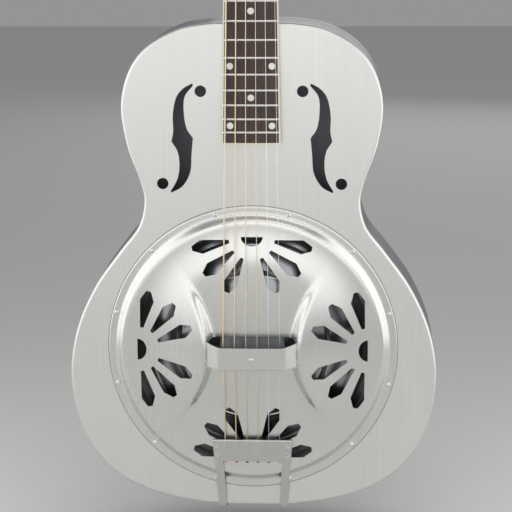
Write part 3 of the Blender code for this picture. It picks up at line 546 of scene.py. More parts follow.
def piece(name, mesh, finish, space=GUITAR, body="root", replaces=(), smooth=40, inside=None):
    """Bakes a mesh into world metres and puts it on its body. inside picks the faces that take the darker
    inner finish, which is partly painted shade.
    """
    mesh.materials.clear()
    mesh.materials.append(finish)
    if inside:
        mesh.materials.append(DARK_INSIDE_AND_SHADE)
        for face in mesh.polygons:
            face.material_index = int(inside(face))
    mesh.transform(Matrix.Scale(MM, 4) @ space)
    mesh.shade_smooth()
    mesh.set_sharp_from_angle(angle=math.radians(smooth))
    made = placed(name, mesh)
    normals = made.modifiers.new("even_normals", "WEIGHTED_NORMAL")
    normals.keep_sharp = True
    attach(made, body)
    if replaces:
        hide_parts(*replaces)
    return made


def smooth_through(points, steps, closed=False):
    """Points on a Catmull-Rom curve through the given ones."""
    count = len(points)
    spans = count if closed else count - 1

    def known(i):
        if closed:
            return Vector(points[i % count])
        if i < 0:
            return 2 * Vector(points[0]) - Vector(points[1])
        if i >= count:
            return 2 * Vector(points[-1]) - Vector(points[-2])
        return Vector(points[i])

    found = []
    for i in range(spans):
        a, b, c, d = (known(i + k) for k in (-1, 0, 1, 2))
        for step in range(steps):
            t = step / steps
            found.append(0.5 * (2 * b + (c - a) * t + (2 * a - 5 * b + 4 * c - d) * t**2
                                + (3 * b - a - 3 * c + d) * t**3))
    if not closed:
        found.append(known(count - 1))
    return [tuple(p) for p in found]


def smooth_step(t):
    t = min(max(t, 0.0), 1.0)
    return t * t * (3 - 2 * t)


def spread(width, i):
    return width * (i / 5 - 0.5)


def circle(centre, radius, sides=48):
    return [(centre[0] + radius * math.cos(2 * math.pi * i / sides),
             centre[1] + radius * math.sin(2 * math.pi * i / sides)) for i in range(sides)]


def rotated(points, angle, centre=(0, 0)):
    """Points turned about the origin, then moved to a centre."""
    c, s = math.cos(angle), math.sin(angle)
    return [(centre[0] + x * c - z * s, centre[1] + x * s + z * c) for x, z in points]


def to_guitar(point):
    return GUITAR.inverted() @ NECK @ Vector(point)


# -------- body

def body_outline(steps=8):
    left = [(-x, z) for x, z in reversed(OUTLINE[1:-1])]
    return smooth_through(OUTLINE + left, steps, closed=True)


def back_y(z):
    return DEPTH_AT_TAIL - DEPTH_TAPER * (z - BODY_TAIL)


def pan(face_depth, skirt_depth, facing):
    """A sheet with a rounded edge turned over the rim. facing is the sign of its face's normal along y."""
    outline = body_outline()
    bm = bmesh.new()
    face_loop = [bm.verts.new((x, face_depth(z), z)) for x, z in outline]
    skirt_loop = [bm.verts.new((x, skirt_depth(z), z)) for x, z in outline]
    face = bm.faces.new(face_loop)
    wall_between(bm, face_loop, skirt_loop)
    bmesh.ops.recalc_face_normals(bm, faces=bm.faces)
    if face.normal.y * facing < 0:
        bmesh.ops.reverse_faces(bm, faces=bm.faces)
    bmesh.ops.bevel(bm, geom=list(face.edges), offset=FACE_EDGE_R, segments=6, profile=0.5, affect="EDGES")
    return mesh_from(bm, normals=False)


F_HOLE_SIDES = [
    [(57, 261), (66, 255.6), (72.6, 246.5), (75.8, 230), (75.5, 215), (77.4, 205)],
    [(77.4, 205), (71.6, 195), (69.9, 182), (72.2, 168), (78.8, 156.2)],
    [(77.8, 155), (67, 161.5), (59.6, 175), (58.1, 193), (56.6, 208.2)],
    [(56.6, 208.2), (62.6, 217.5), (65.1, 232), (64.2, 248), (56, 259)],
]
F_DOTS = [(49.0, 253.5), (86.4, 163.8)]


def f_hole_outlines():
    found = []
    for side in (1, -1):
        loop = []
        for curve in F_HOLE_SIDES:
            loop += smooth_through(curve, 8)
        tidy = [p for i, p in enumerate(loop) if math.dist(p, loop[i - 1]) > 0.01]
        found.append([(side * x, z) for x, z in tidy])
        found += [circle((side * x, z), 5.5) for x, z in F_DOTS]
    return found


def screw_places():
    angles = [math.radians(15 + 30 * i) for i in range(SCREWS)]
    return [(SCREW_CIRCLE * math.cos(a), SCREW_CIRCLE * math.sin(a)) for a in angles]


def make_body():
    holes = f_hole_outlines() + [circle((0, 0), FACE_MOUTH_R, 160)]
    holes += [circle(place, FACE_SCREW_R, 16) for place in screw_places()]
    front = shaped(pan(lambda z: 0, lambda z: SKIRT, -1), wall(SHEET),
                   *cut(flat_solid(holes, -3, 4)), bevel(0.15, 2, 50))
    piece("front_shell", front, NICKEL_FRONT, replaces=["body_top"],
          inside=lambda face: face.normal.y > 0.7)

    back = shaped(pan(back_y, lambda z: back_y(z) - SKIRT, 1), wall(SHEET))
    piece("back_shell", back, NICKEL, replaces=["body_back"],
          inside=lambda face: face.normal.y < -0.7)

    outline = body_outline()
    bm = bmesh.new()
    near = [bm.verts.new((x, SKIRT + 0.02, z)) for x, z in outline]
    far = [bm.verts.new((x, back_y(z) - SKIRT - 0.02, z)) for x, z in outline]
    wall_between(bm, near, far)
    stick_way = box((-STICK_HALF, STICK_NEAR, BODY_TOP - 5), (STICK_HALF, STICK_FAR, BODY_TOP + 5))
    pin_way = rod(PIN_R, (0, PIN_Y, BODY_TAIL - 5), (0, PIN_Y, BODY_TAIL + 5))
    sides = shaped(mesh_from(bm), wall(SHEET), *cut(stick_way, pin_way))
    heart = Vector((0, 0, 60))

    def faces_in(face):
        """Whether a face of the rim looks into the body."""
        return (face.center - heart).normalized().dot(face.normal) < -0.2 and abs(face.normal.y) < 0.5

    piece("rim_shell", sides, NICKEL_RIM_PAINTED_DARK, replaces=["body_sides"], inside=faces_in)


def make_inside():
    ledge = -26.0
    well = [(133.0, -1.3), (133.0, -2.3), (124.0, -2.3), (124.0, ledge - 1), (113.0, ledge - 1),
            (113.0, ledge), (123.0, ledge), (123.0, -1.3)]
    piece("cone_well", turned(well, 128), WELL, replaces=["sound_well"])

    # The cone's slope carries three shallow pressed rings.
    rim, crown = ledge + 0.3, 3.7
    top = [(2.6, crown), (29.0, crown), (32.0, crown - 0.4), (34.5, crown - 1.6)]
    for r in [34.5 + 0.7 * i for i in range(1, 108)]:
        raised = sum(math.exp(-((r - ring) / 1.1) ** 2) for ring in (50, 74, 103))
        top.append((r, crown - 1.6 - (r - 34.5) * 0.32 + raised))
    top += [(112.0, rim + 2.4), (113.5, rim + 1.2), (115.0, rim + 0.7), (CONE_R, rim + 0.6)]
    under = [(r, h - 0.6) for r, h in reversed(top)]
    piece("spun_cone", turned(top + under, 128), CONE_METAL, replaces=["cone"])


def dress_kept_nodes():
    """Nodes that stay as the CAD has them get only a finish."""
    for finish, names in ((MAPLE, ["neck_stick", "tail_block"]), (EBONY, ["biscuit", "saddle"]),
                          (STEEL, ["biscuit_screw", "truss_rod"])):
        for name in names:
            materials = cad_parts[name].data.materials
            materials.clear()
            materials.append(finish)


# -------- cover plate

def cover_height(x, z):
    """Height above the face of the cover plate's upper surface."""
    r = math.hypot(x, z)
    if r >= DOME_R:
        fall = smooth_step((r - DOME_R) / (FLANGE_IN - DOME_R))
        roll = 0.5 * max(r - EDGE_ROLL_R, 0) ** 2 / (COVER_R - EDGE_ROLL_R) ** 2
        return DOME_FOOT + (FLANGE_TOP - DOME_FOOT) * fall - roll
    dome = DOME_FOOT + (DOME_TOP - DOME_FOOT) * math.cos(math.pi * r / (2 * DOME_R)) ** 2
    trough_half = TROUGH_HALF + (WIDENS_UP if z > 0 else WIDENS_DOWN) * z * z
    lower = smooth_step((15 - z) / 60)
    wide = 5 - lower
    ridge = smooth_step((abs(x) - trough_half + wide) / (2 * wide))
    fall = TROUGH_FALL * (0.4 + 0.6 * lower)
    floor = max(TROUGH - fall * r * r, TROUGH_LEAST) - MOUTH_LIP * smooth_step((20 - z) / 7) * (z > 0)
    floor_height = -math.log(math.exp(-dome / 0.8) + math.exp(-floor / 0.8)) * 0.8
    return floor_height * (1 - ridge) + dome * ridge


def petal(rosette_angle, petal_angle):
    rim = Vector((math.cos(rosette_angle), math.sin(rosette_angle))) * ROSETTE_R
    along = Vector((-math.cos(rosette_angle + petal_angle), -math.sin(rosette_angle + petal_angle)))
    across = Vector((-along.y, along.x))
    shape = [(22.5, 1.6), (50.0, 6.9), (59.5, 2.3), (59.5, -2.3), (50.0, -6.9), (22.5, -1.6)]
    return [tuple(rim + along * a + across * b) for a, b in shape]


def rosette_outlines():
    found = []
    for quarter in range(4):
        facing = math.radians(90 * quarter)
        for degrees in (-78.5, -51.5, -24.5, 24.5, 51.5, 78.5):
            found.append(petal(facing, math.radians(degrees)))
        middle = (ROSETTE_R * math.cos(facing), ROSETTE_R * math.sin(facing))
        half = [math.radians(90 + 180 * i / 24) for i in range(25)]
        moon = [(9.0 * math.cos(a), 10.6 * math.sin(a)) for a in half]
        found.append(rotated(moon, facing, middle))
    return found


def make_cover():
    sides = 240
    radii = [11 + 2 * i for i in range(58)] + [DOME_R + (FLANGE_IN - DOME_R) * i / 8 for i in range(1, 9)]
    radii += [138.5, EDGE_ROLL_R, 141.4, 141.8, COVER_R]
    bm = bmesh.new()
    rings = [[bm.verts.new((x, -cover_height(x, z), z)) for x, z in circle((0, 0), r, sides)] for r in radii]
    for inner, outer in zip(rings, rings[1:]):
        wall_between(bm, inner, outer)
    sheet = mesh_from(bm)
    if sheet.polygons[0].normal.y > 0:
        sheet.flip_normals()
    mouth = [(34, 14.6), (39.5, 13.6), (41.8, 11.5), (41.8, -14.6), (38, -15.5)]
    mouth += [(-x, z) for x, z in reversed(mouth)]
    holes = [mouth] + rosette_outlines() + [circle(place, PLATE_SCREW_R, 16) for place in screw_places()]

    stations = [i * 1.5 - 48 for i in range(65)]
    middle = (BAND_LOW + BAND_HIGH) / 2
    rings = []
    for x in stations:
        out = max(abs(x) - 30, 0) / 18
        low, high, top = BAND_LOW + 2.0 * out, BAND_HIGH + 4.8 * out, -DOME_TOP + 12 * out ** 1.5
        rings.append([(x, top + 1.0, high), (x, top + 0.35, high), (x, top, high - 0.35), (x, top, high - 4),
                      (x, top, low + 4), (x, top, low + 0.35), (x, top + 0.35, low), (x, top + 1.0, low)])
    band = loft(rings)
    hole = rod(1.8, (0, -DOME_TOP - 3, middle), (0, -DOME_TOP + 3, middle), 24)
    cover = shaped(sheet, wall(SHEET), *cut(flat_solid(holes, -34, 2)), *joined(band), *cut(hole))
    # The plate's underside takes the darker inner finish, as painted shade that the cone reflects.
    piece("cover_shell", cover, NICKEL_PLATE, replaces=["cover_plate"], smooth=32,
          inside=lambda face: face.normal.y > 0.3)
    for i, (x, z) in enumerate(screw_places()):
        piece(f"plate_screw_{i + 1}", screw_mesh(2.4, 1.9, 0.7 * i), STEEL, GUITAR @ shift(x, -FLANGE_TOP, z),
              replaces=[f"cover_screw_{i + 1}"])
    piece("rest_screw", screw_mesh(2.4, 2.9, 0.4), STEEL, GUITAR @ shift(0, -DOME_TOP, middle),
          replaces=["hand_rest_screw"])


def screw_mesh(radius, height, turn, depth=0.9):
    """A round head with a cross recess, its axis along y."""
    dome = [(radius * math.sin(math.radians(a)), 0.3 + (height - 0.3) * math.cos(math.radians(a)))
            for a in range(0, 91, 9)]
    head = turned(dome + [(radius, 0.05), (1.3, 0.05), (1.3, -3.0), (0, -3.0)], 32)
    long, wide = radius * 0.55, radius * 0.13
    cross = [(long, wide), (wide, wide), (wide, long)]
    for _ in range(3):
        cross += [(-z, x) for x, z in cross[-3:]]
    return shaped(head, *cut(flat_solid([rotated(cross, turn)], -height - 1, -height + depth)))


# -------- tailpiece

# Each station of a strap: height above the face, z, x of its middle and width.
STRAP_PATH = [
    (HOOD_TOP - HOOD_LAP, -94.5, 34.9, 8.6), (HOOD_FOOT - HOOD_LAP, -110.5, 33.8, 8.6),
    (9.0, -128, 32.3, 8.2), (5.0, -147, 31.2, 7.9), (3.4, -156, 30.7, 7.8), (2.2, -161.5, 30.4, 7.7),
    (0, -164.4, 30.2, 7.7),
    (-4, -165.2, 30.0, 7.7), (-26, -165.2, 28.0, 7.7), (-34, -165.2, 26.0, 7.7),
]


def strap_mesh(side):
    path = smooth_through(STRAP_PATH, 5)
    rings = []
    for i, (height, z, x, width) in enumerate(path):
        ahead, behind = path[min(i + 1, len(path) - 1)], path[max(i - 1, 0)]
        along = Vector((ahead[0] - behind[0], ahead[1] - behind[1])).normalized()
        inward = Vector((-along.y, along.x)) * -STRAP_THICK
        if inward.x > 0:
            inward = -inward
        low, high = side * (x - width / 2), side * (x + width / 2)
        y, under = -(height + inward.x), z + inward.y
        rings.append([(low, -height, z), (high, -height, z), (high, y, under), (low, y, under)])
    return loft(rings)


def make_strap_frame():
    end_line = circle_corners([(-30, 26), (30, 26), (24, 52), (-24, 52)], 3)
    end = loft([[(x, y, z) for x, y in end_line] for z in (-165.25, -163.72)])
    hole = rod(PIN_R, (0, PIN_Y, -170), (0, PIN_Y, -160))
    straps = [(strap_mesh(side), "UNION", "self") for side in (-1, 1)]
    piece("strap_frame", shaped(end, *straps, *cut(hole)), NICKEL_TAIL, replaces=["tailpiece_frame"])


def make_hood():
    """A sheet whose top edge is rolled, with wings, and a foot that holds the ball ends."""
    roll = [(HOOD_Z + 0.4 + HOOD_ROLL_R * math.sin(math.radians(a)),
             HOOD_TOP - HOOD_ROLL_R + HOOD_ROLL_R * math.cos(math.radians(a))) for a in range(200, -1, -20)]
    foot = [(HOOD_FOOT_Z, HOOD_FOOT), (HOOD_FOOT_Z - 0.8, HOOD_FOOT - 0.3),
            (HOOD_FOOT_Z - 1.1, HOOD_FOOT - 1.1), (HOOD_FOOT_Z - 1.1, 8.7), (HOOD_FOOT_Z, 8.7),
            (HOOD_FOOT_Z, HOOD_FOOT - 1.4)]
    under = [(HOOD_Z - 1.5, HOOD_TOP - 1.35), (HOOD_Z + 0.4, HOOD_TOP - 2.0)]
    hood = loft([[(x, -h, z) for z, h in roll + foot + under] for x in (-HOOD_HALF, HOOD_HALF)])
    wide, narrow = 39.4, 37.6
    wing_line = circle_corners([(-wide, 0.0), (wide, 0.0), (narrow, -19.2), (-narrow, -19.2)], 1.2)
    wing = flat_solid([wing_line], -0.6, 0.6)
    wing.transform(shift(0, -HOOD_TOP + 0.68, HOOD_Z + 0.9) @ Matrix.Rotation(HOOD_LEAN, 4, "X"))
    edge_y, edge_z = -HOOD_TOP + 1.2, HOOD_Z + 0.6
    rolled_edge = rod(1.25, (-wide, edge_y, edge_z), (wide, edge_y, edge_z), 24)
    slots = [box((x - 0.9, -11.9, HOOD_FOOT_Z - 3), (x + 0.9, -5, HOOD_FOOT_Z + 0.8))
             for x in (spread(SPREAD_TAIL, i) for i in range(6))]
    made = shaped(hood, (wing, "UNION", "self"), *joined(rolled_edge), *cut(*slots))
    piece("string_hood", made, NICKEL_TAIL, replaces=["tailpiece_hood"])


def make_end_pin():
    button = [(0, 11.3), (4.8, 11.3), (5.5, 11.2), (6.6, 10.8), (7.0, 10.1), (6.4, 9.5), (4.6, 8.3),
              (4.0, 7.3), (4.0, 6.2), (4.6, 5.3), (6.3, 4.6), (6.5, 4.2), (6.5, 3.1), (3.0, 3.1),
              (3.0, -19.0), (0, -20.0)]
    end_pin = turned(button, 64, quarter_turns("X", 2), (0, PIN_Y, BODY_TAIL))
    piece("end_pin", end_pin, STEEL, replaces=["strap_button"])


def circle_corners(corners, radius, steps=5):
    """A polygon with its corners rounded by short curves."""
    found = []
    for i, corner in enumerate(corners):
        here, before, after = Vector(corner), Vector(corners[i - 1]), Vector(corners[(i + 1) % len(corners)])
        a = here + (before - here).normalized() * radius
        b = here + (after - here).normalized() * radius
        for k in range(steps + 1):
            t = k / steps
            found.append(tuple(a * (1 - t) ** 2 + here * 2 * t * (1 - t) + b * t * t))
    return found


def make_rivets():
    ring = [(1.0, 0.55), (1.5, 0.85), (2.1, 0.7), (2.4, 0.2), (2.4, 0.0), (1.0, 0.0)]
    for i, (x, z) in enumerate([(-35.6, -95.5), (-34.9, -105.0), (35.6, -95.5), (34.9, -105.0)]):
        height = HOOD_TOP - 0.08 - (HOOD_Z + 0.9 - z) * math.tan(HOOD_LEAN)
        seat = GUITAR @ shift(x, -height, z) @ Matrix.Rotation(HOOD_LEAN, 4, "X")
        piece(f"rivet_{i + 1}", turned(ring, 32), STEEL, seat)
        core = turned([(0, 0.3), (0.8, 0.25), (1.05, 0.1), (1.05, -0.4), (0, -0.4)], 24)
        piece(f"rivet_core_{i + 1}", core, RIVET_CORE, seat)


BALL_TONES = [(0.80, 0.55, 0.18), (0.75, 0.05, 0.06), (0.02, 0.02, 0.02), (0.02, 0.42, 0.18),
              (0.36, 0.20, 0.62), (0.72, 0.72, 0.70)]


def make_ball_ends():
    half = [(0.9, 1.5), (1.6, 1.5), (2.0, 1.2), (1.7, 0.5)]
    barrel = half + [(r, -h) for r, h in reversed(half)]
    for i, tone in enumerate(BALL_TONES):
        finish = polished(f"ball_end_{i + 1}", tone, 0.3)
        at = (spread(SPREAD_TAIL, i), -10.2, HOOD_FOOT_Z - 1.4)
        mesh = turned(barrel, 24, quarter_turns("Y", 1), at)
        piece(f"ball_end_{6 - i}", mesh, finish)


# -------- neck and headstock

def board_half(z):
    return BOARD_HALF_NUT + (BOARD_HALF_END - BOARD_HALF_NUT) * (NUT_Z - z) / (NUT_Z - BOARD_END)


def head_outline(start=0.0, inset=0.0):
    right = [(21.6, start), (22.2, 4)]
    right += smooth_through([(25, 11), (30.5, 17.5), (34, 26), (34.6, 40)], 4)
    right += smooth_through([(34.6, 60), (36, 120), (37.6, 176)], 2)
    right += smooth_through([(36.6, 180.4), (33.5, 182.4), (24, 184.2), (12, 186.6), (0, HEAD_LONG)], 4)
    right = [(max(x - inset, 0), z - (inset if z > 170 else 0)) for x, z in right]
    return right + [(-x, z) for x, z in reversed(right[:-1])]


def post_places():
    """Bass side from the nut up, then the treble side from the tip down: the order of the strings."""
    heights = [POST_FIRST + POST_STEP * i for i in range(3)]
    return [(-POST_X, z) for z in heights] + [(POST_X, z) for z in reversed(heights)]


def arch(z, depth, half, tilt, edge, steps=40):
    """A half round across the back of the neck, from edge to edge."""
    ring = []
    for i in range(steps + 1):
        angle = math.pi * i / steps
        y = edge + depth * math.sin(angle)
        ring.append((half * math.cos(angle), y, z + tilt * y))
    return ring


def make_neck_wood():
    top = BOARD_THICK + FINE_GAP
    lean = math.tan(NECK_ANGLE)
    foot = (BODY_TOP + 0.3 - JOINT_Z) / math.cos(NECK_ANGLE)
    sections = [(foot, 58, 26.3, lean), (foot + 5, 52, 26.2, lean), (foot + 12, 41, 26.1, lean * 0.7),
                (foot + 20, 31, 25.9, 0), (foot + 30, 24, 25.6, 0), (foot + 44, 19.5, 25.3, 0),
                (110, 17.2, 24.4, 0), (NUT_Z - 40, 15.4, 22.4, 0), (NUT_Z, 15.2, BOARD_HALF_NUT, 0),
                (NUT_Z + 7, 15.5, 22, 0)]
    rings = [arch(*section, top) for section in smooth_through(sections, 4)]
    shaft = loft(rings + [arch(NUT_Z + 22, 9.5, 23, 0, top + 9)])

    loops = []
    for z in (BOARD_END + 3, foot + 6):
        half = board_half(z) - 2.5
        face = (BOARD_PROUD - FINE_GAP * 3 - z * math.sin(NECK_ANGLE)) / math.cos(NECK_ANGLE)
        loops.append([(-half, top, z), (half, top, z), (half, face, z), (-half, face, z)])
    tongue = loft(loops)
    head = flat_solid([head_outline()], HEAD_FRONT, HEAD_FRONT + HEAD_THICK)
    cutters = [rod(BORE_R, (x, -2, z), (x, 22, z), 24) for x, z in post_places()]
    cutters.append(box((-5, -3, 2.5), (5, 8, 26)))
    for mesh in [head] + cutters:
        mesh.transform(NECK.inverted() @ HEAD)
    cutters.append(rod(2.8, (0, BOARD_THICK + 7, 20), (0, BOARD_THICK + 7, NUT_Z + 22), 16))
    wood_mesh = shaped(shaft, *joined(tongue, head), *cut(*cutters))
    piece("neck_wood", wood_mesh, MAHOGANY, NECK, replaces=["neck"])


def make_head_face():
    holes = [circle(place, BORE_R, 24) for place in post_places()]
    pocket = [(-5, 3), (5, 3), (5, 25.5), (-5, 25.5)]
    face = shaped(flat_solid([head_outline(0.6)] + holes + [pocket], 0, OVERLAY), bevel(0.35, 3, 50))
    piece("overlay", face, BLACK, HEAD, replaces=["headstock_overlay"])

    half = [(0, 1.2), (7, 1.3), (8.4, 3), (9.4, 7), (9.0, 14), (6.2, 23), (4.3, 30), (3.4, 33.4), (0, 33.9)]
    bell = smooth_through(half + [(-x, z) for x, z in reversed(half[1:-1])], 4, closed=True)
    cover = shaped(flat_solid([bell], -1.55, -FINE_GAP), bevel(0.4, 3, 50))
    piece("rod_cover", cover, CREAM, HEAD, replaces=["truss_rod_cover"])
    for i, (x, z) in enumerate([(-5.5, 5.8), (5.5, 5.8), (0, 29.5)]):
        piece(f"rod_cover_screw_{i + 1}", screw_mesh(1.5, 0.9, 0.5 + i, 0.5), STEEL, HEAD @ shift(x, -1.5, z))


def camber(x):
    """How far the fingerboard's surface falls below its crown."""
    return BOARD_RADIUS - math.sqrt(BOARD_RADIUS**2 - x * x)


def strip_across(z_low, z_high, half_low, half_high, under, over, steps=24):
    """A strip across the board that follows its camber. under and over are depths below its surface."""
    rings = []
    for i in range(steps + 1):
        t = i / steps * 2 - 1
        low, high = t * half_low, t * half_high
        rings.append([(low, camber(low) + over, z_low), (high, camber(high) + over, z_high),
                      (high, under, z_high), (low, under, z_low)])
    return loft(rings)


def fret_z(number):
    return NUT_Z - SCALE * (1 - 2 ** (-number / 12))


def make_board():
    edge = BINDING + 0.05
    wood_mesh = strip_across(BOARD_END + edge, NUT_Z, board_half(BOARD_END) - edge,
                             board_half(NUT_Z) - edge, BOARD_THICK, 0.0)
    piece("board_wood", wood_mesh, ROSEWOOD, NECK, replaces=["fingerboard"], smooth=30)
    cream = []
    for side in (-1, 1):
        rings = []
        for z in (BOARD_END, BOARD_END + 4, NUT_Z):
            outer = board_half(z)
            inner = outer - BINDING
            rings.append([(side * inner, camber(inner), z), (side * (outer - 0.5), camber(outer) + 0.02, z),
                          (side * outer, camber(outer) + 0.5, z), (side * outer, BOARD_THICK, z),
                          (side * inner, BOARD_THICK, z)])
        cream.append(loft(rings))
    end_half = board_half(BOARD_END) - BINDING + 0.2
    end = strip_across(BOARD_END, BOARD_END + BINDING, end_half, end_half, BOARD_THICK, 0.0)
    binding = shaped(end, *joined(*cream))
    piece("board_binding", binding, CREAM, NECK, replaces=["fingerboard_binding"], smooth=30)


def make_frets():
    crown = [(1.2 * math.cos(a), -1.05 * math.sin(a)) for a in (math.pi * k / 10 for k in range(9, 0, -1))]
    profile = [(-1.2, -0.02)] + crown + [(1.2, -0.02), (0, 0.6)]
    for number in range(1, 20):
        z = fret_z(number)
        half = board_half(z) - 0.35
        rings = []
        for i in range(29):
            x = (i / 14 - 1) * half
            lift = 1 - 0.75 * max(0.0, (abs(x) - half + 1.4) / 1.4) ** 2
            rings.append([(x, camber(x) + h * lift, z + a) for a, h in profile])
        piece(f"fret_{number}", loft(rings), FRET, NECK, smooth=50)


def make_dots():
    """The marked frets, each with its dots' distance from the middle of the board."""
    for number, offset in [(5, 20), (7, 0), (9, 20), (12, 0), (15, 20), (17, 0), (19, 20)]:
        z = (fret_z(number) + fret_z(number - 1)) / 2
        for x in sorted({-offset, offset}):
            disc = turned([(0, 0.05), (3.1, 0.05), (3.25, -0.1), (3.25, -0.4), (0, -0.4)], 40)
            seat = NECK @ shift(x, camber(x) - 0.03, z) @ Matrix.Rotation(x / BOARD_RADIUS, 4, "Z")
            piece(f"dot_{number}_{'bass' if x < 0 else 'treble'}", disc, PEARL, seat)


def make_nut():
    rings = []
    for i in range(41):
        x = (i / 20 - 1) * BOARD_HALF_NUT
        crown = -1.85 + 0.9 * camber(x)
        rings.append([(x, BOARD_THICK - FINE_GAP, NUT_Z + FINE_GAP), (x, crown + 0.1, NUT_Z + FINE_GAP),
                      (x, crown, NUT_Z + 0.5), (x, crown + 0.3, NUT_Z + 3.0), (x, crown + 0.9, NUT_Z + 4.5),
                      (x, crown + 1.6, NUT_Z + NUT_THICK), (x, BOARD_THICK - FINE_GAP, NUT_Z + NUT_THICK)])
    slots = [box((spread(SPREAD_NUT, i) - gauge / 2 - 0.12, -4, NUT_Z - 2),
                 (spread(SPREAD_NUT, i) + gauge / 2 + 0.12, -ACTION_NUT + gauge / 2 + 0.15, NUT_Z + 9))
             for i, gauge in enumerate(GAUGES)]
    piece("string_nut", shaped(loft(rings), *cut(*slots)), CREAM, NECK, replaces=["nut"])


# -------- tuners

def wheel_outline():
    """The gear, with a gap facing the worm."""
    loop = []
    step = 2 * math.pi / TEETH
    for i in range(TEETH):
        middle = math.pi / 2 + (i + 0.5) * step
        half = [(0.042, WHEEL_TIP_R), (0.07, 5.1), (0.105, WHEEL_ROOT_R), (0.125, WHEEL_ROOT_R)]
        tooth = [(-a, r) for a, r in reversed(half)] + half
        loop += [(r * math.cos(middle + a), r * math.sin(middle + a)) for a, r in tooth]
    return loop


def worm_mesh(per_turn=32, turns=2.25):
    count = round(per_turn * turns)
    rings = []
    for i in range(count + 1):
        turned_by = 2 * math.pi * (i - count / 2) / per_turn
        angle = turned_by - math.pi / 2
        along = LEAD * turned_by / (2 * math.pi)
        root = WORM_CORE_R - 0.3
        section = ((-0.52, root), (-0.2, WORM_TIP_R), (0.2, WORM_TIP_R), (0.52, root))
        rings.append([(along + a, r * math.cos(angle), r * math.sin(angle)) for a, r in section])
    return loft(rings)


def make_tuners():
    for i, (x, z) in enumerate(post_places()):
        number = 6 - i
        here = HEAD @ shift(x, 0, z)
        worm_at = HEAD @ shift(x, WORM_Y, z + CENTRES)
        make_post(number, here)
        make_knob(number, worm_at, -1 if x < 0 else 1)
        make_tuner_plate(number, here)
        collar = [(POST_R + 0.25, 1.7), (POST_R + 0.6, 1.9), (4.4, 1.6), (5.2, 0.9), (5.35, 0.1),
                  (5.35, 0.02), (3.75, 0.02), (3.75, -5.0), (POST_R + 0.25, -5.0)]
        piece(f"bushing_{number}", turned(collar, 48), STEEL, here)


def make_post(number, here):
    body = f"post_{number}"
    foot = -WORM_Y - 2.4
    shaft = [(0, POST_PROUD), (1.6, POST_PROUD), (2.5, POST_PROUD - 0.3), (POST_R - 0.05, POST_PROUD - 0.8),
             (POST_R - 0.05, 9.2), (POST_R - 0.4, 7.2), (POST_R - 0.4, 5.6), (POST_R - 0.02, 4.4),
             (POST_R - 0.02, foot), (0, foot)]
    hole = rod(0.95, (-5, -8.4, 0), (5, -8.4, 0), 20)
    post = shaped(turned(shaft, 40), *cut(hole))
    piece(f"post_shaft_{number}", post, STEEL, here, body, [f"tuner_post_{number}"])
    lines = [wheel_outline(), circle((0, 0), POST_R, 32)]
    wheel = shaped(flat_solid(lines, WORM_Y - 1.9, WORM_Y + 1.9), bevel(0.12, 2, 60))
    piece(f"gear_{number}", wheel, GEAR, here, body)
    seat = here @ shift(0, WORM_Y + 1.6, 0) @ quarter_turns("Z", 2)
    piece(f"gear_screw_{number}", screw_mesh(2.1, 1.4, 0.3 * number, 0.6), STEEL, seat, body)


def make_knob(number, worm_at, side):
    body = f"knob_{number}"
    core = [(0, -EAR_OUT), (SHAFT_R, -EAR_OUT + 0.3), (SHAFT_R, -EAR_IN + 0.2), (WORM_CORE_R, -EAR_IN + 0.2),
            (WORM_CORE_R, EAR_IN - 0.2), (SHAFT_R, EAR_IN - 0.2), (SHAFT_R, 15.5), (2.3, 16.2), (2.5, 17.4),
            (2.0, 18.6), (1.5, 19.2), (1.5, 21), (0, 21)]
    worm = shaped(turned(core, 40, quarter_turns("Y", side)), *joined(worm_mesh()))
    piece(f"worm_{number}", worm, STEEL, worm_at, body, [f"tuner_knob_{number}"])
    piece(f"button_{number}", button_mesh(side), STEEL, worm_at, body)


def make_tuner_plate(number, here):
    base = flat_solid([circle_corners([(-9.5, -8), (9.5, -8), (9.5, 13.5), (-9.5, 13.5)], 3)],
                      PLATE_BACK - 1.2, PLATE_BACK)
    top = WORM_Y + 3.2
    ears = []
    for inner, outer in ((EAR_IN, EAR_OUT), (-EAR_OUT, -EAR_IN)):
        arc = [(WORM_Y - 0.4 + EAR_R * math.sin(a), CENTRES + EAR_R * math.cos(a))
               for a in (math.pi * k / 16 for k in range(17))]
        side_view = [(PLATE_BACK - 0.6, CENTRES + EAR_R)] + arc + [(PLATE_BACK - 0.6, CENTRES - EAR_R)]
        ears.append(loft([[(x, min(y, top), z) for y, z in side_view] for x in (inner, outer)]))
    shaft_hole = rod(SHAFT_R + 0.15, (-12, WORM_Y, CENTRES), (12, WORM_Y, CENTRES), 32)
    post_hole = rod(POST_R + 0.35, (0, 0, 0), (0, PLATE_BACK + 1, 0), 32)
    plate = shaped(base, *joined(*ears), *cut(shaft_hole, post_hole), bevel(0.2, 2, 50))
    piece(f"gear_plate_{number}", plate, STEEL, here, replaces=[f"tuner_plate_{number}"])
    for k, x in enumerate((-7, 7)):
        seat = here @ shift(x, PLATE_BACK, -5.4) @ quarter_turns("Z", 2)
        piece(f"gear_plate_screw_{number}_{k + 1}", screw_mesh(1.7, 1.1, k + number, 0.5), STEEL, seat)


def button_mesh(side):
    """An oval thumb piece with a flattened face, on a short neck."""
    bm = bmesh.new()
    bmesh.ops.create_uvsphere(bm, u_segments=48, v_segments=24, radius=1)
    for vert in bm.verts:
        x, y, z = vert.co
        squared = 1 - 0.22 * (1 - abs(x)) * (1 - abs(z))
        vert.co = (BUTTON_HALF[0] * x, BUTTON_HALF[1] * y * squared, BUTTON_HALF[2] * z)
    bmesh.ops.translate(bm, vec=(side * BUTTON_X, 0, 0), verts=bm.verts)
    return mesh_from(bm)


# -------- strings

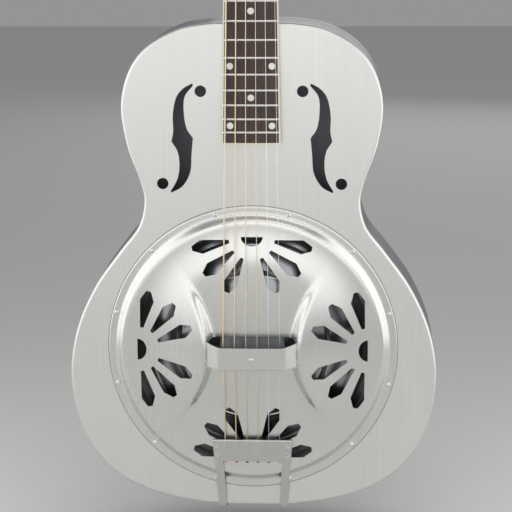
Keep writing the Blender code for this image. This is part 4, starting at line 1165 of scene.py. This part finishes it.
def string_line():
    """The strings' depth at the nut in the guitar's frame, and how much it grows per mm up the neck."""
    at_nut = to_guitar((0, -ACTION_NUT, NUT_Z))
    at_joint = to_guitar((0, -ACTION_JOINT, 0))
    return at_nut, (at_nut.y - at_joint.y) / (at_nut.z - at_joint.z)


def string_height_at_saddle():
    at_nut, slope = string_line()
    return -(at_nut.y - slope * at_nut.z)


def string_height_at(z):
    """Behind the saddle the strings drop to the foot of the hood."""
    return STRING_FOOT + (string_height_at_saddle() - STRING_FOOT) * (z - HOOD_FOOT_Z) / -HOOD_FOOT_Z


def make_strings():
    end_z = HOOD_FOOT_Z - 2.2
    for i, gauge in enumerate(GAUGES):
        number = 6 - i
        x, z = post_places()[i]
        side = -1 if x < 0 else 1
        points = [Vector((spread(SPREAD_TAIL, i), -string_height_at(end_z), end_z)),
                  Vector((spread(SPREAD_SADDLE, i), -string_height_at_saddle(), 0)),
                  to_guitar((spread(SPREAD_NUT, i), -ACTION_NUT, NUT_Z)),
                  to_guitar((spread(SPREAD_NUT, i), -ACTION_NUT + 0.1, NUT_Z + NUT_THICK))]
        wrap = POST_R + 0.2 + gauge / 2
        drop = gauge + 0.25
        steps = WIND_STEPS * 4
        for step in range(steps + 1):
            angle = 2 * math.pi * step / (WIND_PER_TURN * 4)
            local = Vector((x - side * wrap * math.cos(angle),
                            WIND_START + drop * step / (WIND_PER_TURN * 4), z + wrap * math.sin(angle)))
            points.append(GUITAR.inverted() @ HEAD @ local)
        curve = bpy.data.curves.new(f"string_line_{number}", "CURVE")
        curve.dimensions = "3D"
        curve.bevel_depth = gauge / 2
        curve.bevel_resolution = 3
        curve.use_fill_caps = True
        piece(f"string_wire_{number}", curve_mesh(curve, [points]), BRONZE if number > 2 else PLAIN,
              replaces=[f"string_{number}"], smooth=60)


make_camera()
make_stage()
make_body()
make_inside()
dress_kept_nodes()
make_cover()
make_strap_frame()
make_hood()
make_rivets()
make_ball_ends()
make_end_pin()
make_neck_wood()
make_head_face()
make_board()
make_frets()
make_dots()
make_nut()
make_tuners()
make_strings()
bpy.data.collections.remove(SCRATCH)
